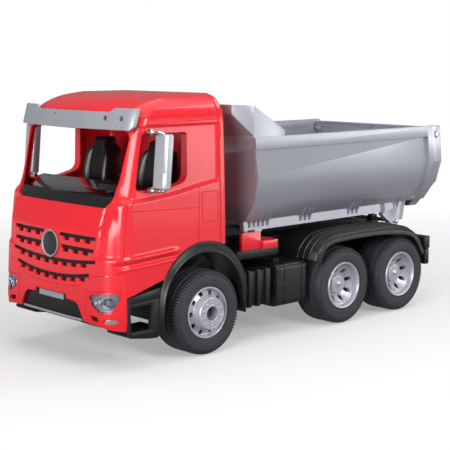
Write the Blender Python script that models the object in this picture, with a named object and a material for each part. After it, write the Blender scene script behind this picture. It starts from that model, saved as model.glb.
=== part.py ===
"""Push-along toy dump truck: three axles, open cab, tipping bucket with a hinged tailgate.

Metres, +Z up. The truck drives towards -Y and its left side is +X. The origin lies on the
ground under the middle of the truck.
"""

import math

import bmesh
import bpy
from mathutils import Matrix

# ---------------------------------------------------------------- driving dimensions
GAP = 0.0003  # clearance between neighbouring pieces
WALL = 0.003  # wall of the large mouldings

TYRE_RADIUS = 0.055
TYRE_HALF_WIDTH = 0.024
RIM_RADIUS = 0.0335
TRACK_HALF = 0.1005  # centre plane of a tyre
AXLE_RADIUS = 0.003
BORE_RADIUS = 0.0034
AXLE_Y = {"front": -0.1666, "middle": 0.0942, "rear": 0.2207}

CAB_REAR = -0.131
CAB_FLOOR_Z = 0.150
BUMPER_REAR = -0.2937

DECK_TOP = 0.124
DECK_HALF = 0.046
SHELF_TOP = 0.1208  # brackets beside the deck that the latch slides on

TIPPER_LEAN = 0.134  # both ends of the bucket lean forward with height, metres per metre
TIPPER_FRONT = -0.0776  # front face at the crease
TIPPER_LENGTH = 0.3896
CREASE_Z = 0.2200
RAIL_TOP = 0.2735
BUCKET_FLOOR = 0.158
HINGE_Y, HINGE_Z = 0.2535, 0.128
GATE_Y, GATE_Z = 0.2975, 0.2600

ROUND = 24  # sides of a rim or a turned piece
TYRE_SIDES = 32

SIDES = {"left": 1, "right": -1}


# ---------------------------------------------------------------- finishes
def finish(name, colour, roughness, metallic=0.0):
    made = bpy.data.materials.new(name)
    made.use_nodes = True
    shader = made.node_tree.nodes["Principled BSDF"]
    shader.inputs["Base Color"].default_value = (*colour, 1)
    shader.inputs["Roughness"].default_value = roughness
    shader.inputs["Metallic"].default_value = metallic
    made.diffuse_color = (*colour, 1)
    return made


def make_finishes():
    return {
        "red": finish("red_plastic", (0.75, 0.03, 0.04), 0.25),
        "grey": finish("grey_plastic", (0.33, 0.34, 0.39), 0.4),
        "black": finish("black_plastic", (0.012, 0.012, 0.013), 0.4),
        "silver": finish("silver_plastic", (0.55, 0.58, 0.62), 0.3, 0.6),
        "lamp": finish("lamp_plastic", (0.45, 0.45, 0.5), 0.2),
        "steel": finish("steel", (0.6, 0.6, 0.6), 0.35, 1.0),
        "rim": finish("rim_plastic", (0.45, 0.46, 0.5), 0.35, 0.3),
        "tyre": finish("tyre_plastic", (0.03, 0.03, 0.032), 0.7),
    }


# ---------------------------------------------------------------- shape helpers
def solid(name, points, faces, material):
    """A closed mesh object in world coordinates, with its faces turned outwards."""
    work = bmesh.new()
    corners = [work.verts.new(point) for point in points]
    for face in faces:
        work.faces.new([corners[i] for i in face])
    bmesh.ops.recalc_face_normals(work, faces=work.faces)
    mesh = bpy.data.meshes.new(name)
    work.to_mesh(mesh)
    work.free()
    mesh.materials.append(material)
    made = bpy.data.objects.new(name, mesh)
    bpy.context.collection.objects.link(made)
    return made


def smooth(made, angle=40):
    made.data.shade_smooth()
    made.data.set_sharp_from_angle(angle=math.radians(angle))
    return made


def prism(name, outline, axis, low, high, material):
    """An outline extruded along an axis: (y, z) along x, (x, z) along y or (x, y) along z."""
    place = {
        "x": lambda a, b, t: (t, a, b),
        "y": lambda a, b, t: (a, t, b),
        "z": lambda a, b, t: (a, b, t),
    }[axis]
    count = len(outline)
    points = [place(a, b, t) for t in (low, high) for a, b in outline]
    faces = [tuple(range(count)), tuple(range(count, 2 * count))]
    for i in range(count):
        j = (i + 1) % count
        faces.append((i, j, j + count, i + count))
    return solid(name, points, faces, material)


def box(name, low, high, material):
    outline = [(low[1], low[2]), (high[1], low[2]), (high[1], high[2]), (low[1], high[2])]
    return prism(name, outline, "x", low[0], high[0], material)


def side_box(name, side, low, high, material):
    """A box given for the left side of the truck, mirrored for the right."""
    x_low, x_high = sorted((side * low[0], side * high[0]))
    return box(name, (x_low, low[1], low[2]), (x_high, high[1], high[2]), material)


def side_prism(name, outline, side, near, far, material):
    """An outline in (y, z) between two distances from the middle plane, on one side."""
    low, high = sorted((side * near, side * far))
    return prism(name, outline, "x", low, high, material)


def turned(name, profile, sides, material, side=1, centre=(0, 0, 0), closed=True):
    """A profile of (distance along X, radius) turned about an axis along X.

    A closed profile is a ring. An open one starts and ends on the axis.
    """
    points, rings = [], []
    for along, radius in profile:
        x = centre[0] + side * along
        if radius == 0:
            rings.append([len(points)] * sides)
            points.append((x, centre[1], centre[2]))
            continue
        rings.append(list(range(len(points), len(points) + sides)))
        for i in range(sides):
            turn = 2 * math.pi * (i + 0.5) / sides
            points.append(
                (x, centre[1] + radius * math.sin(turn), centre[2] - radius * math.cos(turn))
            )
    faces = []
    pairs = list(zip(rings, rings[1:] + rings[:1]))
    for ring, following in pairs if closed else pairs[:-1]:
        for i in range(sides):
            j = (i + 1) % sides
            corners = dict.fromkeys((ring[i], ring[j], following[j], following[i]))
            if len(corners) > 2:
                faces.append(tuple(corners))
    return solid(name, points, faces, material)


def rod(name, low, high, radius, y, z, sides, material):
    """A plain cylinder along X."""
    profile = [(low, 0), (low, radius), (high, radius), (high, 0)]
    return turned(name, profile, sides, material, centre=(0, y, z), closed=False)


def combine(target, operation, others):
    for other in others:
        step = target.modifiers.new(other.name, "BOOLEAN")
        step.operation = operation
        step.solver = "EXACT"
        step.object = other
        other.hide_render = True
        other.display_type = "WIRE"
    return target


def carve(target, *cutters):
    return combine(target, "DIFFERENCE", cutters)


def fuse(target, *others):
    return combine(target, "UNION", others)


def keep(target, *others):
    return combine(target, "INTERSECT", others)


def axis_empty(name, place):
    made = bpy.data.objects.new(name, None)
    made.location = place
    made.empty_display_size = 0.02
    bpy.context.collection.objects.link(made)
    return made


def attach(parent, *children):
    """Parents pieces to an empty and leaves them where they are."""
    for child in children:
        child.parent = parent
        child.matrix_parent_inverse = Matrix.Translation(-parent.location)


def put_origin(made, place):
    made.data.transform(Matrix.Translation([-value for value in place]))
    made.location = place


def arc(centre, radius, start, end, steps):
    """Points on a circle, from one angle in degrees to another."""
    found = []
    for i in range(steps + 1):
        turn = math.radians(start + (end - start) * i / steps)
        found.append((centre[0] + radius * math.cos(turn), centre[1] + radius * math.sin(turn)))
    return found


# ---------------------------------------------------------------- cab outline
# At each height: half width, front at the middle, how far the front has swept back where the
# corner starts, and where the flat side starts.
CAB_LEVELS = (
    (0.050, 0.1190, -0.3208, 0.0025, -0.2885),
    (0.066, 0.1205, -0.3220, 0.0025, -0.2875),
    (0.110, 0.1210, -0.3205, 0.0030, -0.2820),
    (0.165, 0.1210, -0.3175, 0.0045, -0.2820),
    (0.200, 0.1205, -0.3062, 0.0030, -0.2850),
    (0.212, 0.1203, -0.3032, 0.0075, -0.2775),
    (0.290, 0.1180, -0.2862, 0.0090, -0.2595),
    (0.303, 0.1165, -0.2815, 0.0090, -0.2550),
    (0.313, 0.1130, -0.2730, 0.0090, -0.2450),
    (0.321, 0.1070, -0.2600, 0.0090, -0.2330),
    (0.327, 0.0990, -0.2430, 0.0080, -0.2180),
    (0.331, 0.0860, -0.2200, 0.0070, -0.2000),
)
CORNER_WIDTH = 0.026
CORNER_STEPS = 4
REAR_CHAMFER = 0.006


def cab_level(z, inset):
    """The cab's values at one height, moved inwards by the inset."""
    z_read = z + inset if z > CAB_LEVELS[-1][0] - 0.06 else z
    z_read = min(max(z_read, CAB_LEVELS[0][0]), CAB_LEVELS[-1][0])
    for low, high in zip(CAB_LEVELS, CAB_LEVELS[1:]):
        if z_read <= high[0]:
            break
    share = (z_read - low[0]) / (high[0] - low[0])
    half, front, sweep, flank = (a + (b - a) * share for a, b in zip(low[1:], high[1:]))
    return half - inset, front + inset, sweep, flank + inset


def cab_ring(z, inset):
    """The cab's outline at one height: the left half from the middle of the front to the rear."""
    half, front, sweep, flank = cab_level(z, inset)
    straight = half - CORNER_WIDTH
    left = [(0.0, front), (straight * 0.5, front + sweep * 0.25)]
    start = front + sweep
    for i in range(CORNER_STEPS + 1):
        turn = math.pi / 2 * i / CORNER_STEPS
        x = straight + CORNER_WIDTH * math.sin(turn)
        left.append((x, start + (flank - start) * (1 - math.cos(turn))))
    rear = CAB_REAR - inset
    left += [(half, rear - REAR_CHAMFER), (half - REAR_CHAMFER, rear)]
    right = [(-x, y) for x, y in reversed(left) if x > 0]
    return left + right


def cab_loft(name, inset, low, high, material):
    """The closed volume of the cab between two heights, moved inwards by the inset."""
    heights = [low]
    heights += [level[0] for level in CAB_LEVELS if low + 0.001 < level[0] < high - 0.001]
    heights.append(high)
    points, count = [], 0
    for z in heights:
        ring = cab_ring(z, inset)
        count = len(ring)
        points += [(x, y, z) for x, y in ring]
    faces = [tuple(range(count)), tuple(range(len(points) - count, len(points)))]
    for level in range(len(heights) - 1):
        base = level * count
        for i in range(count):
            j = (i + 1) % count
            low_i, low_j, high_i, high_j = base + i, base + j, base + i + count, base + j + count
            faces += [(low_i, low_j, high_j), (low_i, high_j, high_i)]
    return solid(name, points, faces, material)


# ---------------------------------------------------------------- front wheel arch
ARCH_INNER = ((-0.1742, 0.0674), 0.0661)
ARCH_OUTER = ((-0.1696, 0.0720), 0.0753)
ARCH_STEPS = 14


def arch_outline(grow=0.0):
    """The outside of the wheel arch, closed below the truck."""
    centre, radius = ARCH_OUTER
    radius += grow
    over = arc(centre, radius, 180, 0, ARCH_STEPS)
    return [(centre[0] - radius, 0.03), *over, (centre[0] + radius, 0.03)]


# ---------------------------------------------------------------- chassis
def make_chassis(look):
    black = look["black"]
    frame = box("chassis_frame", (-DECK_HALF, -0.300, 0.118), (DECK_HALF, 0.262, DECK_TOP), black)
    rail_far = (DECK_HALF - 0.0005, 0.2835, 0.1185)
    shelf_far = (0.0965, -0.012, SHELF_TOP)
    ear = [(0.2415, 0.117), (0.2655, 0.117), (0.2590, 0.1345), (0.2480, 0.1345)]
    parts = []
    for side in SIDES.values():
        parts.append(side_box(f"rail_{side}", side, (0.034, -0.300, 0.080), rail_far, black))
        parts.append(side_box(f"shelf_{side}", side, (0.040, -0.090, 0.1095), shelf_far, black))
        parts.append(side_prism(f"hinge_ear_{side}", ear, side, 0.0360, 0.0452, black))
    for i, y in enumerate((-0.295, -0.105, 0.030, 0.155, 0.275)):
        low, high = (-0.036, y - 0.004, 0.084), (0.036, y + 0.004, 0.1183)
        parts.append(box(f"cross_{i}", low, high, black))
    for name, y in AXLE_Y.items():
        low, high = (-0.050, y - 0.013, 0.045), (0.050, y + 0.013, 0.0870)
        parts.append(box(f"carrier_{name}", low, high, black))
        parts.append(rod(f"sleeve_{name}", -0.0882, 0.0882, 0.0075, y, TYRE_RADIUS, 16, black))
    fuse(frame, *parts)
    bores = [
        rod(f"bore_{name}", -0.1, 0.1, BORE_RADIUS, y, TYRE_RADIUS, 12, black)
        for name, y in AXLE_Y.items()
    ]
    bores.append(rod("bore_hinge", -0.1, 0.1, BORE_RADIUS, HINGE_Y, HINGE_Z, 12, black))
    carve(frame, *bores)


def make_axles(look):
    reach = {"front": 0.0167, "middle": 0.0137, "rear": 0.0137}
    for name, y in AXLE_Y.items():
        end = TRACK_HALF + reach[name]
        rod(f"{name}_axle", -end, end, AXLE_RADIUS, y, TYRE_RADIUS, 12, look["steel"])


def make_side_boxes(look):
    black = look["black"]
    for name, side in SIDES.items():
        low, high = (DECK_HALF + GAP, -0.0310, 0.0395), (0.112, 0.0272, 0.0980)
        tank = side_box(f"fuel_tank_{name}", side, low, high, black)
        step = tank.modifiers.new("edges", "BEVEL")
        step.width = 0.003
        step.segments = 1
        cap_profile = [(0.0983, 0), (0.0983, 0.0050), (0.1035, 0.0045), (0.1035, 0)]
        cap = turned(f"tank_cap_{name}", cap_profile, 12, black, closed=False)
        cap.data.transform(Matrix.Rotation(math.radians(-90), 4, "Y"))
        cap.data.transform(Matrix.Translation((side * 0.092, -0.014, 0)))
        low, high = (DECK_HALF + GAP, -0.0860, 0.0500), (0.108, -0.0385, 0.0940)
        body = side_box(f"battery_box_{name}", side, low, high, black)
        fins = []
        for i, y in enumerate((-0.0800, -0.0640, -0.0480)):
            low, high = (0.06, y - 0.0035, 0.0462), (0.112, y + 0.0035, 0.0965)
            fins.append(side_box(f"fin_{name}_{i}", side, low, high, black))
        fuse(body, *fins)


def make_rear_bumper(look):
    black = look["black"]
    beam = box("rear_crossmember", (-0.120, 0.2840, 0.0850), (0.120, 0.2980, 0.1045), black)
    rib = beam.modifiers.new("edges", "BEVEL")
    rib.width = 0.0015
    rib.segments = 1
    for name, side in SIDES.items():
        side_box(f"mudflap_{name}", side, (0.070, 0.2860, 0.0612), (0.1195, 0.2960, 0.0847), black)


def make_front_fenders(look):
    """Wheel flare and step well, one moulding on each side."""
    black = look["black"]
    inner_centre, inner_radius = ARCH_INNER
    for name, side in SIDES.items():
        outline = arch_outline(-GAP)[1:-1]
        inner = arc(inner_centre, inner_radius, 0, 180, ARCH_STEPS)
        rear_blade = [(-0.0975, 0.0470), (-0.1043, 0.0470)]
        front_foot = [(-0.2416, 0.0420), (-0.2446, 0.0420)]
        ring = outline + rear_blade + inner + front_foot
        fender = side_prism(f"front_fender_{name}", ring, side, 0.0790, 0.1270, black)
        frame = [(-0.2932, 0.0905), (-0.2932, 0.0465), (-0.2945, 0.0460), (-0.2940, 0.0435)]
        frame += [(-0.2905, 0.0415), (-0.2620, 0.0370), (-0.2480, 0.0360), (-0.2435, 0.0400)]
        frame += [(-0.2435, 0.1010)]
        step_well = side_prism(f"step_well_{name}", frame, side, 0.0800, 0.1215, black)
        fuse(fender, step_well)
        well = [(-0.2892, 0.0480), (-0.2600, 0.0475), (-0.2580, 0.0800), (-0.2900, 0.0800)]
        cut = side_prism(f"well_cut_{name}", well, side, 0.07, 0.13, black)
        carve(fender, cut)


# Top line of a rear fender, from its front edge over both wheels to its rear edge.
REAR_FENDER_TOP = (
    (0.0290, 0.0990),
    (0.0345, 0.1130),
    (0.0520, 0.1270),
    (0.0720, 0.1320),
    (0.1500, 0.1335),
    (0.2100, 0.1300),
    (0.2350, 0.1255),
    (0.2500, 0.1205),
    (0.2650, 0.1080),
    (0.2790, 0.0860),
)


def offset_line(line, distance):
    """A line in (y, z) moved to its lower side by the distance."""
    found = []
    for i, (y, z) in enumerate(line):
        before = line[max(i - 1, 0)]
        after = line[min(i + 1, len(line) - 1)]
        along = (after[0] - before[0], after[1] - before[1])
        length = math.hypot(*along)
        found.append((y + distance * along[1] / length, z - distance * along[0] / length))
    return found


def shortened(line, amount):
    """A line with both of its ends drawn in along it."""
    found = list(line)
    for end, beside in ((0, 1), (-1, -2)):
        reach = math.dist(line[end], line[beside])
        share = amount / reach
        found[end] = tuple(a + (b - a) * share for a, b in zip(line[end], line[beside]))
    return found


def make_rear_fenders(look):
    black = look["black"]
    top = list(REAR_FENDER_TOP)
    middle = shortened(top, 0.0010)
    outer = shortened(top, 0.0016)
    for name, side in SIDES.items():
        strip = top + list(reversed(offset_line(top, 0.0026)))
        fender = side_prism(f"rear_fender_{name}", strip, side, DECK_HALF + GAP, 0.1195, black)
        shoulder = offset_line(middle, 0.0020) + list(reversed(offset_line(middle, 0.0046)))
        skirt = offset_line(outer, 0.0028) + list(reversed(offset_line(outer, 0.0105)))
        fuse(
            fender,
            side_prism(f"fender_shoulder_{name}", shoulder, side, 0.1190, 0.1275, black),
            side_prism(f"fender_skirt_{name}", skirt, side, 0.1253, 0.1274, black),
        )


# ---------------------------------------------------------------- wheels
def tyre_profile():
    radius = TYRE_RADIUS / math.cos(math.pi / TYRE_SIDES)
    bore = RIM_RADIUS + GAP
    wide = TYRE_HALF_WIDTH
    half = [(wide - 0.0015, bore), (wide, 0.040), (wide, 0.0480), (wide - 0.0035, radius)]
    return half + [(-along, r) for along, r in reversed(half)]


# Rim sections as (distance outwards from the tyre's middle, radius).
HUB_BACK = [(-0.0120, BORE_RADIUS), (-0.0120, 0.0090)]
REAR_RIM = [
    (-0.0225, RIM_RADIUS),
    (0.0235, RIM_RADIUS),
    (0.0235, 0.0305),
    (0.0105, 0.0262),
    (0.0075, 0.0165),
    (0.0120, 0.0150),
    (0.0120, BORE_RADIUS),
    *HUB_BACK,
    (0.0030, 0.0100),
    (0.0030, 0.0240),
    (-0.0225, 0.0300),
]
FRONT_RIM = [
    (-0.0225, RIM_RADIUS),
    (0.0225, RIM_RADIUS),
    (0.0225, 0.0305),
    (0.0175, 0.0288),
    (0.0215, 0.0215),
    (0.0315, 0.0200),
    (0.0315, 0.0090),
    (0.0150, 0.0090),
    (0.0150, BORE_RADIUS),
    *HUB_BACK,
    (0.0060, 0.0100),
    (0.0130, 0.0190),
    (0.0100, 0.0270),
    (-0.0225, 0.0300),
]
CAP_PROFILE = [
    (0.0155, 0),
    (0.0150, 0.0050),
    (0.0123, 0.0062),
    (0.0123, 0.0033),
    (0.0140, 0.0033),
    (0.0140, 0),
]


def make_wheel(place, side_name, look):
    """Tyre, rim and axle cap about an empty on the wheel's axis."""
    side = SIDES[side_name]
    label = f"{place}_{side_name}"
    axis = axis_empty(f"wheel_axis_{label}", (side * TRACK_HALF, AXLE_Y[place], TYRE_RADIUS))
    front = place == "front"
    tyre = smooth(turned(f"tyre_{label}", tyre_profile(), TYRE_SIDES, look["tyre"], side))
    profile = FRONT_RIM if front else REAR_RIM
    rim = smooth(turned(f"rim_{label}", profile, ROUND, look["rim"], side))
    count, ring, radius = (10, 0.0250, 0.0022) if front else (8, 0.0213, 0.0032)
    holes = []
    for i in range(count):
        turn = 2 * math.pi * (i + 0.5) / count
        low, high = sorted((side * 0.001, side * 0.030))
        hole = rod(
            f"rim_hole_{label}_{i}",
            low,
            high,
            radius,
            ring * math.sin(turn),
            ring * math.cos(turn),
            6,
            look["rim"],
        )
        holes.append(hole)
    carve(rim, *holes)
    shift = 0.003 if front else 0.0
    cap_profile = [(along + shift, radius) for along, radius in CAP_PROFILE]
    cap = smooth(turned(f"axle_cap_{label}", cap_profile, 12, look["rim"], side, closed=False))
    for piece in (tyre, rim, cap, *holes):
        piece.parent = axis


# ---------------------------------------------------------------- cab
# Each grille row: where it starts from the middle plane, where it ends, height at the middle
# plane and height at the end.
GRILLE_ROWS = (
    (0.0165, 0.0860, 0.1608, 0.1608),
    (0.0215, 0.0840, 0.1462, 0.1462),
    (0.0, 0.0880, 0.1280, 0.1335),
    (0.0, 0.0775, 0.1090, 0.1165),
)
SLOT_HEIGHT = 0.0042
SLOT_STEPS = 4
GRILLE_LOW, GRILLE_TOP = 0.1000, 0.1720
# Right half of each opening or seam as (x, z), from the middle plane outwards.
WINDSHIELD_HALF = ((0.0904, 0.1978), (0.1045, 0.2048), (0.1050, 0.2890))
BUMPER_SEAM_HALF = (
    (0.0000, 0.0972),
    (0.0400, 0.0985),
    (0.0600, 0.1022),
    (0.0715, 0.1075),
    (0.0790, 0.1140),
    (0.0860, 0.1162),
    (0.1000, 0.1180),
    (0.1110, 0.1205),
    (0.1300, 0.1215),
)
BUMPER_HEM_HALF = ((0.0670, 0.0589), (0.0980, 0.0566), (0.1120, 0.0527), (0.1200, 0.0495))
SIDE_WINDOW = (
    (-0.2662, 0.2862),
    (-0.1950, 0.2856),
    (-0.1958, 0.2310),
    (-0.2040, 0.2225),
    (-0.2250, 0.2180),
    (-0.2780, 0.2180),
)
SIDE_HEM = ((-0.340, 0.0912), (-0.2934, 0.0912), (-0.2400, 0.1060), (-0.2000, 0.1060))
CUT_FRONT, CUT_BACK = -0.350, -0.262  # reach along Y of the cuts made through the front


def mirrored(half):
    """A half outline and its mirror image, as one closed outline."""
    return list(half) + [(-x, z) for x, z in reversed(half)]


def across(half):
    """A line that starts on the middle plane, with its mirror image before it."""
    return [(-x, z) for x, z in reversed(half[1:])] + list(half)


def slot_outline(start, end, middle_z, end_z):
    """One side of a grille row, curving from the middle plane to its outer end."""
    line = []
    for i in range(SLOT_STEPS + 1):
        x = start + (end - start) * i / SLOT_STEPS
        line.append((x, middle_z + (end_z - middle_z) * (x / end) ** 2))
    upper = [(x, z + SLOT_HEIGHT / 2) for x, z in line]
    lower = [(x, z - SLOT_HEIGHT / 2) for x, z in line]
    return upper, lower


def grille_slots(material):
    slots = []
    for row, (start, end, middle_z, end_z) in enumerate(GRILLE_ROWS):
        upper, lower = slot_outline(start, end, middle_z, end_z)
        left = upper + lower[::-1]
        outlines = [left, [(-x, z) for x, z in left]]
        if start == 0:
            outlines = [across(upper) + across(lower)[::-1]]
        for i, outline in enumerate(outlines):
            slots.append(prism(f"slot_{row}_{i}", outline, "y", CUT_FRONT, -0.290, material))
    return slots


def bumper_seam(rise):
    """The seam between the cab and the bumper from left to right, moved up by the rise."""
    return [(x, z + rise) for x, z in across(BUMPER_SEAM_HALF)]


def make_cab_shell(look):
    red = look["red"]
    top = CAB_LEVELS[-1][0]
    shell = cab_loft("cab_shell", 0.0, 0.0890, top, red)
    inside = cab_loft("cab_inside", WALL, 0.0790, top - WALL, red)
    hem = [*SIDE_HEM, (-0.2000, 0.0700), (-0.3400, 0.0700)]
    below = prism("cab_below", hem, "x", -0.2, 0.2, red)
    seam = bumper_seam(GAP) + [(0.130, 0.070), (-0.130, 0.070)]
    bumper_room = prism("cab_bumper_room", seam, "y", CUT_FRONT, BUMPER_REAR + GAP, red)
    arch = prism("cab_arch", arch_outline(), "x", -0.2, 0.2, red)
    tail = box("cab_tail", (-0.2, -0.160, 0.05), (0.2, -0.100, 0.1400), red)
    carve(shell, inside, below, bumper_room, arch, tail)
    pane = mirrored(WINDSHIELD_HALF)
    screen = prism("windshield_cut", pane, "y", CUT_FRONT, CUT_BACK, red)
    windows = prism("window_cut", SIDE_WINDOW, "x", -0.2, 0.2, red)
    carve(shell, screen, windows, *grille_slots(red))


def front_slice(name, outline, inset, thickness, material):
    """A piece of curved front panel: an (x, z) outline cut from a layer under the cab's surface."""
    heights = [z for _, z in outline]
    low = max(level[0] for level in CAB_LEVELS if level[0] < min(heights))
    high = min(level[0] for level in CAB_LEVELS if level[0] > max(heights))
    layer = cab_loft(name, inset, low, high, material)
    shape = prism(f"{name}_outline", outline, "y", -0.35, -0.2945, material)
    core = cab_loft(f"{name}_core", inset + thickness, low - 0.004, high + 0.004, material)
    keep(layer, shape)
    carve(layer, core)
    return layer


HEADLIGHT = (
    (0.0775, 0.0905),
    (0.0840, 0.0940),
    (0.1050, 0.0962),
    (0.1160, 0.0972),
    (0.1160, 0.0880),
    (0.1130, 0.0780),
    (0.1060, 0.0742),
    (0.0940, 0.0748),
    (0.0830, 0.0800),
)
FOG_LAMP = ((0.1020, 0.0612), (0.1150, 0.0600), (0.1165, 0.0655), (0.1060, 0.0660))
RECESS_HALF = (
    (0.0325, 0.0872),
    (0.0332, 0.0822),
    (0.0500, 0.0812),
    (0.0560, 0.0785),
    (0.0615, 0.0710),
    (0.0668, 0.0610),
    (0.0668, 0.0450),
)


def grown(outline, distance):
    """An outline moved outwards from its middle, corner by corner."""
    middle_x = sum(x for x, _ in outline) / len(outline)
    middle_z = sum(z for _, z in outline) / len(outline)
    found = []
    for x, z in outline:
        reach = math.hypot(x - middle_x, z - middle_z)
        scale = 1 + distance / reach
        found.append((middle_x + (x - middle_x) * scale, middle_z + (z - middle_z) * scale))
    return found


def make_bumper(look):
    """Bumper with its lamps, the dark panel in its recess, the plate and the silver lip."""
    red = look["red"]
    bumper = cab_loft("front_bumper", 0.0, CAB_LEVELS[0][0], 0.1240, red)
    inside = cab_loft("bumper_inside", WALL, 0.040, 0.130, red)
    behind = box("bumper_behind", (-0.2, BUMPER_REAR, 0.03), (0.2, -0.1, 0.13), red)
    over = bumper_seam(0.0) + [(0.130, 0.140), (-0.130, 0.140)]
    above = prism("bumper_above", over, "y", CUT_FRONT, -0.200, red)
    recess = prism("bumper_recess", mirrored(RECESS_HALF), "y", CUT_FRONT, CUT_BACK, red)
    hem = [(0.0, 0.0589), *BUMPER_HEM_HALF, (0.1200, 0.0400), (0.0, 0.0400)]
    hem_left = prism("bumper_hem_left", hem, "y", CUT_FRONT, -0.200, red)
    flipped = [(-x, z) for x, z in hem]
    hem_right = prism("bumper_hem_right", flipped, "y", CUT_FRONT, -0.200, red)
    carve(bumper, inside, behind, above, recess, hem_left, hem_right)
    lamps = []
    for name, side in SIDES.items():
        for kind, outline in (("headlight", HEADLIGHT), ("fog_lamp", FOG_LAMP)):
            placed = [(side * x, z) for x, z in outline]
            room = prism(f"{kind}_cut_{name}", grown(placed, 0.0006), "y", CUT_FRONT, CUT_BACK, red)
            lamps.append(room)
            front_slice(f"{kind}_{name}", placed, 0.0006, 0.0050, look["lamp"])
    carve(bumper, *lamps)
    panel = [(-0.0700, 0.0560), (0.0700, 0.0560), (0.0700, 0.0900), (-0.0700, 0.0900)]
    front_slice("bumper_insert", panel, WALL + GAP, 0.0025, look["black"])
    box("number_plate", (-0.0260, -0.3203, 0.0790), (0.0260, -0.3186, 0.0862), look["silver"])
    strip = [(-0.0625, 0.0580), (0.0625, 0.0580), (0.0625, 0.0608), (-0.0625, 0.0608)]
    front_slice("bumper_lip", strip, 0.0, 0.0030, look["silver"])


BADGE_TILT = 0.0545  # the hood above the bumper leans back, metres per metre


def make_grille(look):
    reach = 0.0920
    panel = [(-reach, GRILLE_LOW), (reach, GRILLE_LOW), (reach, GRILLE_TOP), (-reach, GRILLE_TOP)]
    front_slice("grille_insert", panel, WALL + GAP, 0.0025, look["black"])
    profile = [(0, 0), (0, 0.0165), (0.0022, 0.0172), (0.0028, 0.0150), (0.0028, 0)]
    badge = turned("badge", profile, ROUND, look["silver"], closed=False)
    badge.data.transform(Matrix.Rotation(math.radians(-90), 4, "Z"))
    badge.data.transform(Matrix.Rotation(-math.atan(BADGE_TILT), 4, "X"))
    badge.data.transform(Matrix.Translation((0, -0.3188, 0.1470)))
    smooth(badge)


VISOR_LOW, VISOR_TOP = 0.2905, 0.3161
VISOR_DIP = 0.3112  # top edge between the two raised ends
VISOR_LEAN = 0.30  # the visor leans back with height, metres per metre
VISOR_HALF = 0.1160


def visor_layer(name, inset, low, high, material):
    """A leaning block with the cab's outline at the visor's foot, moved outwards."""
    made = prism(name, cab_ring(VISOR_LOW, inset), "z", low, high, material)
    for vertex in made.data.vertices:
        vertex.co.y += VISOR_LEAN * (vertex.co.z - VISOR_LOW)
    return made


def make_visor(look):
    silver = look["silver"]
    visor = visor_layer("sun_visor", -0.0060, VISOR_LOW, VISOR_TOP, silver)
    inner = visor_layer("visor_inner", -0.0036, 0.2800, 0.3300, silver)
    keep_box = box("visor_reach", (-VISOR_HALF, -0.34, 0.28), (VISOR_HALF, -0.2680, 0.33), silver)
    dip = [(-0.0830, 0.33), (-0.0745, VISOR_DIP), (0.0745, VISOR_DIP), (0.0830, 0.33)]
    keep(visor, keep_box)
    carve(visor, inner, prism("visor_dip", dip, "y", CUT_FRONT, -0.2, silver))
    lugs = []
    for x, front, back in ((0.030, -0.2872, -0.2832), (0.085, -0.2800, -0.2755)):
        for side in SIDES.values():
            low = (side * x - 0.004, front, 0.2990)
            high = (side * x + 0.004, back, 0.3050)
            lugs.append(box(f"visor_lug_{side * x:.3f}", low, high, silver))
    fuse(visor, *lugs)


def make_interior(look):
    black = look["black"]
    floor = cab_loft("cab_floor", 2 * WALL + GAP, CAB_FLOOR_Z, CAB_FLOOR_Z + WALL, black)
    webs = []
    for side in SIDES.values():
        low, high = (0.032, -0.290, DECK_TOP + GAP), (0.042, -0.140, 0.1510)
        webs.append(side_box(f"floor_web_{side}", side, low, high, black))
    fuse(floor, *webs)
    base = CAB_FLOOR_Z + WALL + GAP
    dash = cab_loft("dashboard", WALL + GAP, GRILLE_TOP + GAP, 0.2130, black)
    carve(dash, box("dash_behind", (-0.2, -0.2660, 0.14), (0.2, -0.1, 0.23), black))
    fuse(dash, box("dash_foot", (-0.085, -0.3000, base), (0.085, -0.2700, 0.1800), black))
    for name, side in SIDES.items():
        low, high = sorted((side * 0.030, side * 0.080))
        back = [
            (-0.2420, base),
            (-0.1780, base),
            (-0.1720, 0.2620),
            (-0.1790, 0.2740),
            (-0.1900, 0.2700),
            (-0.2020, 0.1900),
            (-0.2380, 0.1920),
            (-0.2450, 0.1800),
        ]
        prism(f"seat_{name}", back, "x", low, high, black)


MIRROR_LEAN = math.radians(5.3)


def make_mirrors(look):
    """Tall housing with an upper and a lower arm, leaning with the front pillar."""
    silver = look["silver"]
    for name, side in SIDES.items():
        housing = side_box(
            f"mirror_{name}", side, (0.1265, -0.2570, 0.2208), (0.1505, -0.2450, 0.2865), silver
        )
        upper = side_box(
            f"mirror_upper_{name}", side, (0.1192, -0.2600, 0.2850), (0.1400, -0.2530, 0.2910), silver
        )
        lower = side_box(
            f"mirror_lower_{name}", side, (0.1212, -0.2600, 0.2150), (0.1400, -0.2530, 0.2225), silver
        )
        pivot = Matrix.Translation((0, -0.2510, 0.2535))
        lean = pivot @ Matrix.Rotation(-MIRROR_LEAN, 4, "X") @ pivot.inverted()
        for piece in (housing, upper, lower):
            piece.data.transform(lean)
        fuse(housing, upper, lower)


# ---------------------------------------------------------------- tipper
def lean_y(y, z):
    """A place given at the crease height, moved to another height along the leaning ends."""
    return y - TIPPER_LEAN * (z - CREASE_Z)


BUCKET_HALF = ((0.1220, RAIL_TOP), (0.1235, CREASE_Z), (0.1125, 0.1870), (0.0885, BUCKET_FLOOR))
FLANGE_HALF = ((0.1263, RAIL_TOP), (0.1263, CREASE_Z), (0.1135, 0.1870), (0.0720, 0.1460))
# Inside of the bucket, which the tailgate closes.
INNER_HALF = ((0.1185, 0.2600), (0.1205, CREASE_Z), (0.1102, 0.1890), (0.0872, 0.1610))
FLANGE_LENGTH = 0.020
GATE_CLEAR = 0.0008
TIPPER_END = TIPPER_FRONT + TIPPER_LENGTH


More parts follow.
